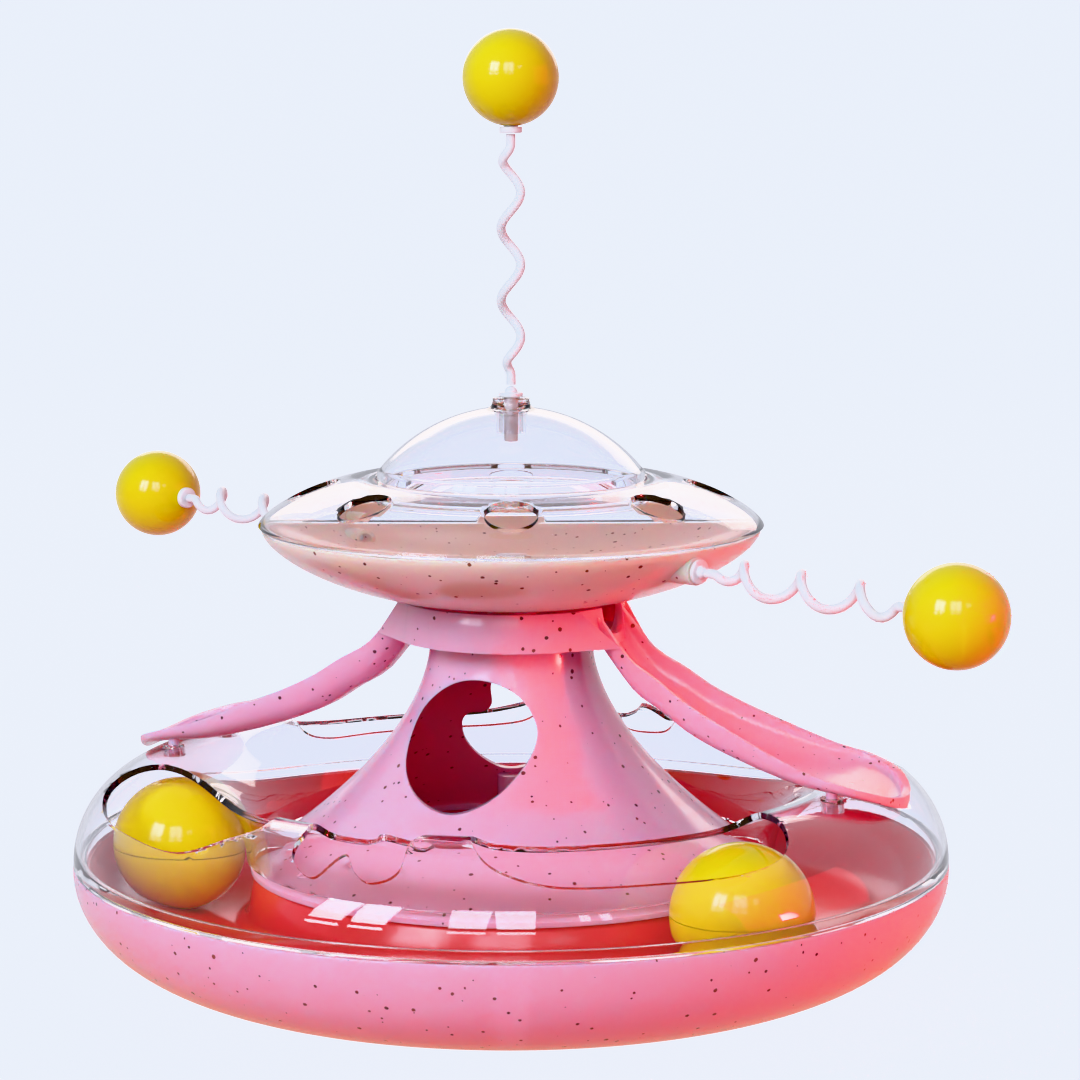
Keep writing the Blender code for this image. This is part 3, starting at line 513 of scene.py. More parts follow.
cone = {
    "hemRadius": 77.2 * mm, "neckRadius": 24 * mm, "hemZ": 32.5 * mm, "topZ": 99 * mm,
    "hemBottom": 30.8 * mm, "hemEdge": 0.4 * mm, "topEdge": 0.8 * mm, "wall": 2.2 * mm,
    "sweep": 1.85, "wallSteps": 36, "neckCrowding": 1.15, "windowSteps": 8,
    "hubRadius": 7.5 * mm, "hubTop": 108.2 * mm, "pinTail": 9 * mm, "boreRadius": 2.3 * mm,
    "bossRadius": 4.4 * mm, "bossTop": 46.6 * mm, "bossHole": 1.8 * mm, "edgeRound": 0.5 * mm}
frontWindow = [
    (-0.12, 0.866), (-0.263, 0.836), (-0.393, 0.705), (-0.459, 0.511), (-0.408, 0.391),
    (-0.256, 0.344), (-0.071, 0.411), (0.072, 0.546), (0.11, 0.672), (0.03, 0.805)]
backWindow = [
    (-0.093, 0.702), (-0.09, 0.611), (-0.129, 0.573), (-0.196, 0.57), (-0.226, 0.52),
    (-0.211, 0.42), (-0.143, 0.316), (-0.029, 0.239), (0.09, 0.263), (0.196, 0.367),
    (0.253, 0.507), (0.239, 0.654), (0.147, 0.773), (0.015, 0.821), (-0.066, 0.783)]


def makeConeColumn():
    c = cone
    height = c["topZ"] - c["hemZ"]
    wall, midTop = c["wall"], c["topZ"] - c["wall"] / 2
    drops = [(step / c["wallSteps"]) ** c["neckCrowding"] for step in range(c["wallSteps"] + 1)]
    outside = [(c["neckRadius"] + (c["hemRadius"] - c["neckRadius"]) * drop ** c["sweep"],
                c["topZ"] - drop * height) for drop in drops]
    inside = movedAside(outside, -wall)
    inside[0] = (inside[0][0], c["topZ"] - wall)
    inside = [point for point in inside if point[1] > c["hemZ"]]
    hem = [(c["hemRadius"], c["hemBottom"], c["hemEdge"]),
           (c["hemRadius"] - 2 * wall, c["hemBottom"], c["hemEdge"])]
    top = [(0, c["topZ"]), (outside[0][0], outside[0][1], c["topEdge"])]
    profile = top + outside[1:] + hem + inside[::-1] + [(0, c["topZ"] - wall)]
    piece = turnPiece("coneColumn", profile)
    combine(piece, rod("hub", c["hubRadius"], midTop, c["hubTop"]), "UNION")
    combine(piece, rod("tail", c["hubRadius"] - wall, c["topZ"] - c["pinTail"], midTop), "UNION")
    combineRods(piece, "UNION", screwPlaces(), c["bossRadius"], c["hemBottom"], c["bossTop"], 32)
    combineRods(piece, "DIFFERENCE", screwPlaces(), c["bossHole"], c["hemBottom"] - wall,
                c["bossTop"] - 2 * wall, 24)
    combine(piece, rod("bore", c["boreRadius"], c["hemZ"], c["hubTop"] + wall), "DIFFERENCE")
    for outline, side in ((frontWindow, -1), (backWindow, 1)):
        points = [(x * height, 0, c["hemZ"] + z * height)
                  for x, z in smoothLoop(outline, c["windowSteps"])]
        window = pushOutline("window", points, (0, side * c["hemRadius"], 0))
        combine(piece, window, "DIFFERENCE")
    easeEdges(piece, c["edgeRound"])
    finishPiece(piece, speckledPinkAbs, "base", ["cone_column"])


# Screws that come up through the bowl's wells: cheese heads with a cross recess

screw = {
    "headZ": 19.7 * mm, "headHeight": 2.2 * mm, "headRadius": 3.3 * mm, "headEdge": 0.5 * mm,
    "collarEdge": 0.2 * mm, "shankRadius": 1.5 * mm, "length": 18 * mm, "tipEdge": 0.4 * mm,
    "recess": 0.8 * mm, "crossLength": 3.4 * mm, "recessDepth": 1.1 * mm, "turnApart": 0.7}


def makeColumnScrews():
    s = screw
    under, tip = s["headZ"] - s["headHeight"], s["headZ"] + s["length"]
    profile = [(0, under), (s["headRadius"], under, s["headEdge"]),
               (s["headRadius"], s["headZ"], s["collarEdge"]), (s["shankRadius"], s["headZ"]),
               (s["shankRadius"], tip, s["tipEdge"]), (0, tip)]
    first = turnPiece("columnScrew1", profile, steps=40)
    for turn in (0, math.pi / 2):
        deselectAll()
        bpy.ops.mesh.primitive_cube_add(
            size=1, location=(0, 0, under), rotation=(0, 0, turn),
            scale=(s["crossLength"], s["recess"], 2 * s["recessDepth"]))
        slotCut = bpy.context.object
        bpy.ops.object.transform_apply()
        combine(first, slotCut, "DIFFERENCE")
    screws = [first, copyPiece(first, "columnScrew2"), copyPiece(first, "columnScrew3")]
    for index, (piece, place) in enumerate(zip(screws, screwPlaces())):
        turned = Matrix.Rotation(index * s["turnApart"], 4, "Z")
        placePiece(piece, Matrix.Translation((*place, 0)) @ turned)
        finishPiece(piece, zincSteel, "base", [f"column_screw_{index + 1}"])


# Clear track cover with six paw openings and four peg sockets

cover = {
    "crestRadius": 103 * mm, "footZ": 35 * mm, "rise": 27 * mm, "outerReach": 26.3 * mm,
    "innerReach": 26.6 * mm, "wall": 1.8 * mm, "turnSteps": 192, "lipWidth": 2.2 * mm,
    "lipHeight": 2.8 * mm, "lipEdges": (0.3 * mm, 0.5 * mm, 0.4 * mm),
    "openingOuter": 122.4 * mm, "openingInner": 86 * mm, "openingSteps": 7,
    "cutSpread": (0.8, 1.8),        # the cutter starts inside the arch and ends outside it
    "pegCircle": 105 * mm, "pegSpread": 9.4, "socketRadius": 3.2 * mm, "socketRise": 0.4 * mm,
    "socketDrop": 2.6 * mm, "boreRadius": 1.9 * mm, "edgeRound": 0.5 * mm}
slideDirections = (-22, 158)
# Each opening seen from above: (angle, share of the way from the inner radius to the outer)
pawOpenings = {
    "teardrop": [
        (-175, 0.86), (-164, 0.98), (-150, 1), (-138, 0.99), (-132, 0.84), (-128.5, 0.64),
        (-130.5, 0.36), (-136, 0.06), (-150, 0), (-163, 0.03), (-172, 0.2), (-177, 0.5)],
    "doubleLobe": [
        (-120, 0.84), (-117.5, 0.96), (-115, 0.98), (-112.4, 0.8), (-110.2, 0.93), (-107.5, 0.99),
        (-104.4, 0.9), (-104.4, 0.6), (-103, 0.2), (-105.5, 0.02), (-109, 0.06), (-112.5, 0.13),
        (-115.5, 0.02), (-120, 0), (-124.6, 0.04), (-124.4, 0.22), (-121.4, 0.55)],
    "banana": [
        (-93.5, 0.8), (-90, 0.92), (-84, 0.99), (-72, 1), (-60, 1), (-52.5, 0.93), (-48.5, 0.72),
        (-46, 0.42), (-43.5, 0.12), (-48, 0.01), (-60, 0), (-74, 0), (-87, 0.01), (-94, 0.08),
        (-96.3, 0.3), (-95.5, 0.58)]}


def pegPlaces():
    return [polar(cover["pegCircle"], direction + side * cover["pegSpread"])
            for direction in slideDirections for side in (-1, 1)]


# The height of the arch over its foot, at a distance outside or inside its crest
def archHeight(aside):
    reach = cover["outerReach"] if aside > 0 else cover["innerReach"]
    return cover["rise"] * math.sqrt(1 - (aside / reach) ** 2)


# The cutter spreads out from the middle of the cover's arch, so that it meets the wall squarely.
def makeOpeningCutter(outline, halfTurn):
    c = cover
    loops = []
    for spread in c["cutSpread"]:
        points = []
        for degrees, share in smoothLoop(outline, c["openingSteps"]):
            radius = c["openingInner"] + share * (c["openingOuter"] - c["openingInner"])
            aside = radius - c["crestRadius"]
            points.append((*polar(c["crestRadius"] + aside * spread, degrees + halfTurn),
                           c["footZ"] + archHeight(aside) * spread))
        loops.append(drawLine("opening", points, closed=True))
    cutter = joined(loops)
    openMesh(cutter)
    bpy.ops.mesh.bridge_edge_loops()
    bpy.ops.mesh.select_all(action="SELECT")
    bpy.ops.mesh.fill_holes(sides=0)
    bpy.ops.mesh.select_all(action="SELECT")
    bpy.ops.mesh.quads_convert_to_tris()
    closeMesh()
    mergeAndTurnOut(cutter)
    return cutter


def makeTrackCover():
    c = cover
    crest = (c["crestRadius"], c["footZ"] + c["rise"])
    outerFoot = (c["crestRadius"] + c["outerReach"], c["footZ"])
    innerFoot = (c["crestRadius"] - c["innerReach"], c["footZ"])
    underCrest = (crest[0], crest[1] - c["wall"])
    outside = bow(outerFoot, crest, steps=22) + bow(innerFoot, crest, steps=22)[-2::-1]
    underOuter = bow((outerFoot[0] - c["wall"], c["footZ"]), underCrest, steps=22)
    underInner = bow((innerFoot[0] + c["wall"], c["footZ"]), underCrest, steps=22)
    lipTop = c["footZ"] + c["lipHeight"]
    wallLine = [point for point in underOuter if point[1] > lipTop]
    lipRadius = outerFoot[0] - c["wall"] - c["lipWidth"]
    lip = [(*corner, edge) for corner, edge in zip(
        ((wallLine[0][0], lipTop), (lipRadius, lipTop), (lipRadius, c["footZ"])), c["lipEdges"])]
    profile = outside + underInner + wallLine[-2::-1] + lip
    piece = turnPiece("trackCover", profile, closed=True, steps=c["turnSteps"])
    surface = c["footZ"] + archHeight(c["pegCircle"] - c["crestRadius"])
    combineRods(piece, "UNION", pegPlaces(), c["socketRadius"],
                surface - c["wall"] - c["socketDrop"], surface + c["socketRise"], 40)
    combineRods(piece, "DIFFERENCE", pegPlaces(), c["boreRadius"],
                surface - c["rise"] / 2, surface + c["rise"] / 2, 32)
    for outline in pawOpenings.values():
        for halfTurn in (0, 180):
            combine(piece, makeOpeningCutter(outline, halfTurn), "DIFFERENCE")
    easeEdges(piece, c["edgeRound"], segments=3)
    finishPiece(piece, clearPlastic, "base", ["track_cover"])


# Slide ramp: a collar round the cone's hub and two slides that rest on the cover by pegs

slide = {
    "start": 29.5 * mm, "reach": 120.8 * mm, "topZ": 110.6 * mm, "tipZ": 61 * mm,
    "halfTop": 10.5 * mm, "halfTip": 22 * mm, "spread": 1.3, "leastHalf": 0.02 * mm,
    "wall": 2 * mm, "tipShare": 0.8, "corner": 3.0, "sectionSteps": 28, "stations": 26,
    "tipStations": 14, "mergeWidth": 0.06 * mm, "collarRadius": 34 * mm,
    "collarTaper": 1.4 * mm, "collarWall": 2.2 * mm, "seatZ": 99.6 * mm, "floorTop": 101.8 * mm,
    "holeRadius": 7.8 * mm, "pegRadius": 1.6 * mm, "pegBottom": 57.3 * mm, "pegSink": 0.62,
    "fairingTip": 0.4 * mm, "fairingSink": 0.1 * mm, "fairingSteps": 14, "meetingStep": 0.2 * mm,
    "gateReach": 1.1, "gateRise": 4 * mm, "edgeRound": 0.5 * mm}
# Both are read at a share of the slide's length: how far the lip has come down, and how deep it is
slideLip = [(0, 0), (0.071, 0.163), (0.134, 0.29), (0.223, 0.385), (0.321, 0.502),
            (0.468, 0.631), (0.709, 0.81), (0.821, 0.865), (0.929, 0.931), (1, 1)]
slideDepths = [(0, 10.6 * mm), (0.3, 11 * mm), (0.5, 9.8 * mm), (0.65, 8 * mm), (0.77, 6 * mm),
               (0.87, 4.6 * mm), (1, 3.8 * mm)]


def slideLipZ(share):
    return slide["topZ"] - smoothValue(slideLip, share) * (slide["topZ"] - slide["tipZ"])


# Half width and depth of the trough at a share of its length, inset by a wall or not
def slideStation(share, inset):
    s = slide
    widen = min(share / s["tipShare"], 1)
    half = s["halfTop"] + (s["halfTip"] - s["halfTop"]) * widen ** s["spread"] - inset
    reach = s["reach"] - inset
    along = s["start"] + share * (reach - s["start"])
    if share > s["tipShare"]:
        tip = (share - s["tipShare"]) / (1 - s["tipShare"])
        half *= math.sqrt(max(1 - tip ** 2, 0))
    return along, max(half, s["leastHalf"]), smoothValue(slideDepths, share) - inset


# The trough's first section: (across, height), from lip to lip
def troughSection(half, depth):
    s = slide
    section = []
    for step in range(s["sectionSteps"] + 1):
        turn = math.pi * step / s["sectionSteps"]
        across, down = (abs(part) ** (2 / s["corner"]) for part in (math.cos(turn), math.sin(turn)))
        section.append((-math.copysign(across, math.cos(turn)) * half, s["topZ"] - down * depth))
    return section


# One skin of the trough: its first section is drawn, then extruded and resized at each station.
def troughSkin(name, inset):
    s = slide
    shares = [s["tipShare"] * step / s["stations"] for step in range(s["stations"] + 1)]
    shares += [s["tipShare"] + (1 - s["tipShare"]) * math.sin(math.pi / 2 * step / s["tipStations"])
               for step in range(1, s["tipStations"] + 1)]
    along, half, depth = slideStation(0, inset)
    skin = drawLine(name, [(along, *point) for point in troughSection(half, depth)])
    openMesh(skin)
    lip = s["topZ"]
    for share in shares[1:]:
        nextAlong, nextHalf, nextDepth = slideStation(share, inset)
        nextLip = slideLipZ(share)
        bpy.ops.mesh.extrude_region_move(
            TRANSFORM_OT_translate={"value": (nextAlong - along, 0, nextLip - lip)})
        bpy.ops.transform.resize(value=(1, nextHalf / half, nextDepth / depth),
                                 center_override=(nextAlong, 0, nextLip))
        along, half, depth, lip = nextAlong, nextHalf, nextDepth, nextLip
    bpy.ops.mesh.select_all(action="SELECT")
    bpy.ops.mesh.remove_doubles(threshold=s["mergeWidth"])
    closeMesh()
    return skin


def makeSlide(direction):
    trough = joined([troughSkin("slide", 0), troughSkin("slideInside", slide["wall"])])
    openMesh(trough)
    bpy.ops.mesh.select_all(action="DESELECT")
    bpy.ops.mesh.select_mode(type="EDGE")
    bpy.ops.mesh.select_non_manifold()
    bpy.ops.mesh.bridge_edge_loops()
    bpy.ops.mesh.select_mode(type="VERT")
    closeMesh()
    mergeAndTurnOut(trough)
    placePiece(trough, Matrix.Rotation(math.radians(direction), 4, "Z"))
    return trough


# The collar's wall runs on in a straight line to meet each slide's side, and its top follows the
# slide's lip.
def makeFairing(direction, side):
    s = slide
    span = s["reach"] - s["start"]
    end = s["start"]
    while slideLipZ((end - s["start"]) / span) > s["seatZ"] + s["fairingTip"]:
        end += s["meetingStep"]
    meeting = Vector((end, slideStation((end - s["start"]) / span, 0)[1]))
    base = s["collarRadius"] - s["fairingSink"]
    turn = math.atan2(meeting.y, meeting.x) + math.acos(base / meeting.length)
    outward = Vector((math.cos(turn), math.sin(turn)))
    along = Vector((outward.y, -outward.x))
    length = meeting.dot(along) + s["wall"] / 3
    outline = [(outward * base, s["seatZ"]), (outward * base + along * length, s["seatZ"])]
    for step in range(s["fairingSteps"], -1, -1):
        point = outward * base + along * (length * step / s["fairingSteps"])
        lip = slideLipZ(max(point.x - s["start"], 0) / span)
        outline.append((point, max(lip, s["seatZ"] + s["fairingTip"] / 2)))
    placed = []
    for point, height in outline:
        taper = s["collarTaper"] * (height - s["seatZ"]) / (s["topZ"] - s["seatZ"])
        place = point - outward * taper
        placed.append((place.x, side * place.y, height))
    inward = -outward * s["collarWall"]
    fairing = pushOutline("fairing", placed, (inward.x, side * inward.y, 0))
    placePiece(fairing, Matrix.Rotation(math.radians(direction), 4, "Z"))
    return fairing


def makeSlideRamp():
    s = slide
    rimRadius = s["collarRadius"] - s["collarTaper"]
    profile = [(s["collarRadius"], s["seatZ"]), (rimRadius, s["topZ"]),
               (rimRadius - s["collarWall"], s["topZ"]),
               (s["collarRadius"] - s["collarWall"], s["floorTop"]),
               (s["holeRadius"], s["floorTop"]), (s["holeRadius"], s["seatZ"])]
    ramp = turnPiece("slideRamp", profile, closed=True)
    for direction in slideDirections:
        combine(ramp, makeSlide(direction), "UNION")
        for side in (-1, 1):
            combine(ramp, makeFairing(direction, side), "UNION")
    pegReach = cover["pegCircle"] * math.cos(math.radians(cover["pegSpread"]))
    share = (pegReach - s["start"]) / (s["reach"] - s["start"])
    root = slideLipZ(share) - s["pegSink"] * smoothValue(slideDepths, share)
    combineRods(ramp, "UNION", pegPlaces(), s["pegRadius"], s["pegBottom"], root, 32)
    # The gate: one straight cut through the collar's wall, as wide as both slides are inside
    half = s["halfTop"] - s["wall"] - moulding["fitGap"]
    depth = slideDepths[0][1] - s["wall"] - moulding["fitGap"]
    high = s["topZ"] + s["gateRise"]
    section = [(-half, high), *troughSection(half, depth), (half, high)]
    reach = s["gateReach"] * s["collarRadius"]
    gate = pushOutline("gate", [(-reach, *point) for point in section], (2 * reach, 0, 0))
    placePiece(gate, Matrix.Rotation(math.radians(slideDirections[0]), 4, "Z"))
    combine(ramp, gate, "DIFFERENCE")
    easeEdges(ramp, s["edgeRound"])
    finishPiece(ramp, speckledPinkAbs, "base", ["slide_ramp"])


# Saucer: cream dish, clear disc and clear dome

dish = {
    "bottomZ": 110 * mm, "flatRadius": 20 * mm, "radius": 73.2 * mm, "rimZ": 131.7 * mm,
    "curve": 1.58, "wall": 2.2 * mm, "hubRadius": 6 * mm, "hubTop": 118.4 * mm,
    "boreRadius": 2.3 * mm, "leakRadius": 5.5 * mm, "leakCircle": 21 * mm,
    "nozzleRadius": 4 * mm, "nozzleReach": 73.1 * mm, "nozzleRoot": 63 * mm,
    "wandZ": 126 * mm, "socketRadius": 2.4 * mm, "edge": 0.4 * mm, "hubEdge": 0.5 * mm,
    "boreEdge": 0.3 * mm}
wandAngles = {"right": -45, "left": 135}


# Turns an upright piece to lie outwards at a wand's height.
def sideways(degrees):
    turn = Matrix.Rotation(math.radians(degrees), 4, "Z") @ Matrix.Rotation(math.pi / 2, 4, "Y")
    return Matrix.Translation((0, 0, dish["wandZ"])) @ turn


def makeUfoDish():
    d = dish
    innerRadius, floorZ = d["radius"] - d["wall"], d["bottomZ"] + d["wall"]
    outside = bow((d["radius"], d["rimZ"]), (d["flatRadius"], d["bottomZ"]), d["curve"], 40)
    inside = bow((innerRadius, d["rimZ"]), (d["flatRadius"], floorZ), d["curve"], 30)
    rim = [(innerRadius, d["rimZ"], d["edge"]), (d["radius"], d["rimZ"], d["edge"])]
    hub = [(d["boreRadius"], d["bottomZ"], d["boreEdge"]),
           (d["boreRadius"], d["hubTop"], d["boreEdge"]),
           (d["hubRadius"], d["hubTop"], d["hubEdge"]), (d["hubRadius"], floorZ)]
    piece = turnPiece("ufoDish", rim + outside[1:] + hub + inside[:0:-1], closed=True)
    leaks = [polar(d["leakCircle"], direction) for direction in slideDirections]
    combineRods(piece, "DIFFERENCE", leaks, d["leakRadius"], d["bottomZ"] - d["wall"],
                d["bottomZ"] + 3 * d["wall"], 48)
    for degrees in wandAngles.values():
        nozzle = rod("nozzle", d["nozzleRadius"], d["nozzleRoot"], d["nozzleReach"], steps=48)
        placePiece(nozzle, sideways(degrees))
        combine(piece, nozzle, "UNION")
        bore = rod("bore", d["socketRadius"], d["nozzleRoot"] - d["wall"],
                   d["radius"] + d["nozzleRadius"], steps=40)
        placePiece(bore, sideways(degrees))
        combine(piece, bore, "DIFFERENCE")
    easeEdges(piece, d["edge"])
    finishPiece(piece, speckledCreamAbs, "saucer", ["ufo_dish"])


disc = {
    "radius": 74.2 * mm, "bottomZ": 132 * mm, "edge": 0.9 * mm, "ringTopZ": 146.5 * mm,
    "curve": 1.4, "wall": 1.6 * mm, "mouthRadius": 39.8 * mm, "mouthRing": 5.6 * mm,
    "mouthDepth": 4.6 * mm, "mouthLedge": 2.2 * mm, "treatHoles": 8, "treatRadius": 7.5 * mm,
    "treatCircle": 58 * mm, "lipEdge": 0.5 * mm, "ledgeEdge": 0.3 * mm, "innerEdge": 0.4 * mm,
    "cornerEdge": 0.6 * mm, "edgeRound": 0.35 * mm}


def makeClearDisc():
    d = disc
    wall, mouth, topZ = d["wall"], d["mouthRadius"], d["ringTopZ"]
    edgeZ, ringOuter = d["bottomZ"] + d["edge"], mouth + d["mouthRing"]
    outside = bow((d["radius"], edgeZ), (ringOuter, topZ), d["curve"], 34)
    inside = bow((d["radius"] - wall, edgeZ), (ringOuter - wall, topZ - wall), d["curve"], 28)
    ledgeZ, ledgeRadius = topZ - d["mouthDepth"], mouth - d["mouthLedge"]
    ring = [(mouth, topZ, d["lipEdge"]), (mouth, ledgeZ, d["ledgeEdge"]),
            (ledgeRadius, ledgeZ, d["innerEdge"]), (ledgeRadius, ledgeZ - wall, d["innerEdge"]),
            (mouth + wall, ledgeZ - wall, d["cornerEdge"]),
            (mouth + wall, topZ - wall, d["innerEdge"])]
    foot = [(d["radius"] - wall, d["bottomZ"]),
            (d["radius"] - d["edge"], d["bottomZ"], d["innerEdge"])]
    piece = turnPiece("ufoClearDisc", outside + ring + inside[::-1] + foot, closed=True)
    places = [polar(d["treatCircle"], 360 * index / d["treatHoles"] - 90)
              for index in range(d["treatHoles"])]
    combineRods(piece, "DIFFERENCE", places, d["treatRadius"], edgeZ, topZ + d["edge"], 48)
    easeEdges(piece, d["edgeRound"], segments=3)
    finishPiece(piece, clearPlastic, "saucer", ["ufo_clear_disc"])


dome = {
    "radius": 39.3 * mm, "curve": 49.98 * mm, "bottomZ": 142.2 * mm, "apexZ": 167.3 * mm,
    "wall": 1.6 * mm, "neckFlare": 7.5 * mm, "neckRadius": 5.5 * mm, "neckTopZ": 169.9 * mm,
    "neckRound": 1.0 * mm, "socketRadius": 2.4 * mm, "tubeRadius": 4.2 * mm, "tubeDepth": 8 * mm,
    "neckEdge": 0.5 * mm, "tubeEdge": 0.3 * mm, "edge": 0.4 * mm, "smoothAngle": 45}


# A part of a circle round the dome's centre, from one angle off the top to another
def domeArc(radius, start, end, steps):
    centreZ = dome["apexZ"] - dome["curve"]
    turns = [start + (end - start) * step / steps for step in range(steps + 1)]
    return [(radius * math.sin(turn), centreZ + radius * math.cos(turn)) for turn in turns]


def makeDome():
    d = dome
    inner = d["curve"] - d["wall"]
    innerRadius, tubeZ = d["radius"] - d["wall"], d["apexZ"] - d["tubeDepth"]
    outside = domeArc(d["curve"], math.asin(d["radius"] / d["curve"]),
                      math.asin(d["neckFlare"] / d["curve"]), 34)
    inside = domeArc(inner, math.asin(d["tubeRadius"] / inner), math.asin(innerRadius / inner), 30)
    flare = bow((d["neckRadius"], d["neckTopZ"] - d["neckRound"]),
                (d["neckFlare"], outside[-1][1]), steps=6)[::-1]
    neck = flare[1:] + [
        (d["neckRadius"], d["neckTopZ"], d["neckEdge"]),
        (d["socketRadius"], d["neckTopZ"], d["edge"]), (d["socketRadius"], tubeZ, d["tubeEdge"]),
        (d["tubeRadius"], tubeZ, d["edge"])]
    skirt = [(innerRadius, d["bottomZ"], d["edge"]), (d["radius"], d["bottomZ"], d["edge"])]
    piece = turnPiece("ufoDome", outside + neck + inside + skirt, closed=True)
    finishPiece(piece, clearPlastic, "dome", ["ufo_dome"], d["smoothAngle"])


# Pivot that the saucer turns on: a pin, a washer under the hub and one over it, and a cap

pivot = {
    "pinRadius": 2 * mm, "pinBottom": 90 * mm, "pinTop": 122.1 * mm, "pinEdge": 0.4 * mm,
    "boreRadius": 2.3 * mm, "thrustZ": 108.5 * mm, "thrustRadius": 6.4 * mm, "washer": 1.2 * mm,
    "washerEdges": (0.2 * mm, 0.3 * mm), "retainerZ": 118.7 * mm, "retainerRadius": 6 * mm,
    "capZ": 120.2 * mm, "capRadius": 4.6 * mm, "capHeight": 3.4 * mm, "capBore": 2.2 * mm,
    "capRound": 1.6 * mm, "capEdge": 0.3 * mm}


def makePivot():
    p = pivot
    profile = [(0, p["pinBottom"]), (p["pinRadius"], p["pinBottom"], p["pinEdge"]),
               (p["pinRadius"], p["pinTop"], p["pinEdge"]), (0, p["pinTop"])]
    pin = turnPiece("pivotPin", profile, steps=48)
    finishPiece(pin, zincSteel, "base", ["pivot_pin"])
    innerEdge, outerEdge = p["washerEdges"]
    for name, node, bottom, radius, material, slot in (
            ("thrustWasher", "thrust_washer", p["thrustZ"], p["thrustRadius"],
             whiteNylon, "white_plastic"),
            ("retainingWasher", "retaining_washer", p["retainerZ"], p["retainerRadius"],
             zincSteel, "steel")):
        top = bottom + p["washer"]
        profile = [(p["boreRadius"], bottom, innerEdge), (radius, bottom, outerEdge),
                   (radius, top, outerEdge), (p["boreRadius"], top, innerEdge)]
        washer = turnPiece(name, profile, closed=True, steps=64)
        finishPiece(washer, material, "base", [node])
    capTop, boreTop = p["capZ"] + p["capHeight"], p["capZ"] + p["capBore"]
    profile = [(0, capTop), (p["capRadius"], capTop, p["capRound"]),
               (p["capRadius"], p["capZ"], p["capEdge"]), (p["boreRadius"], p["capZ"]),
               (p["boreRadius"], boreTop), (0, boreTop)]
    cap = turnPiece("pivotCap", profile, steps=64)
    finishPiece(cap, whiteNylon, "base", ["pivot_cap"])


# Wands: a plug, a curled wire, a second plug and a ball, measured along the wand from its socket

wand = {
    "ballRadius": 14 * mm, "ballWall": 1.2 * mm, "ballSteps": 40, "reach": 92.5 * mm,
    "flangeRadius": 3.5 * mm, "flangeHeight": 1.2 * mm, "domeRadius": 1.9 * mm,
    "shaftRadius": 2.1 * mm, "topPlug": 13 * mm, "sidePlug": 7 * mm, "tipRadius": 3.3 * mm,
    "tipHeight": 1.6 * mm, "tipLength": 8 * mm, "edges": (0.2 * mm, 0.3 * mm, 0.4 * mm, 0.5 * mm),
    "wireRadius": 1.4 * mm, "wireRings": 5, "wireSmoothAngle": 60, "topCurl": 2.85 * mm,
    "sideCurl": 4.1 * mm, "pitch": 20.9 * mm, "firstCrest": 7.3 * mm, "pointsPerCurl": 30,
    "ramp": 0.09,        # share of the wire over which its curls open
    "droop": {"right": 1.1, "left": -0.8}, "lean": {"right": 2.0, "left": 0.6}}


def wirePoints(curlRadius):
    w = wand
    start = w["flangeHeight"] + w["domeRadius"] + 2 * moulding["fitGap"]
    end = w["reach"] - w["ballRadius"] - w["tipHeight"] - 2 * moulding["fitGap"]
    first, last = start + 2 * w["wireRadius"], end - 2 * w["wireRadius"]
    count = round((last - first) / w["pitch"] * w["pointsPerCurl"])
    points = [(0, 0, start)]
    for step in range(count + 1):
        share = step / count
        height = first + (last - first) * share
        opening = min(share / w["ramp"], (1 - share) / w["ramp"], 1)
        radius = curlRadius * opening * opening * (3 - 2 * opening)
        turn = math.tau * (height - w["firstCrest"]) / w["pitch"]
        points.append((radius * math.cos(turn), radius * math.sin(turn), height))
    return points + [(0, 0, end)]


def makeWire(name, points):
    makeActive(drawLine(name, points))
    bpy.ops.object.convert(target="CURVE")
    wire = bpy.context.object
    wire.data.bevel_depth = wand["wireRadius"]
    wire.data.bevel_resolution = wand["wireRings"]
    wire.data.use_fill_caps = True
    bpy.ops.object.convert(target="MESH")
    return bpy.context.object


def makeWandBall(name):
    w = wand
    arcs = []
    for radius in (w["ballRadius"], w["ballRadius"] - w["ballWall"]):
        holeTurn = math.asin((w["shaftRadius"] + moulding["fitGap"]) / radius)
        turns = [holeTurn + (math.pi - holeTurn) * step / w["ballSteps"]
                 for step in range(w["ballSteps"] + 1)]
        arc = [(radius * math.sin(turn), w["reach"] - radius * math.cos(turn)) for turn in turns]
        arc[-1] = (0, w["reach"] + radius)
        arcs.append(arc)
    return turnPiece(name, arcs[1][::-1] + arcs[0], steps=72)


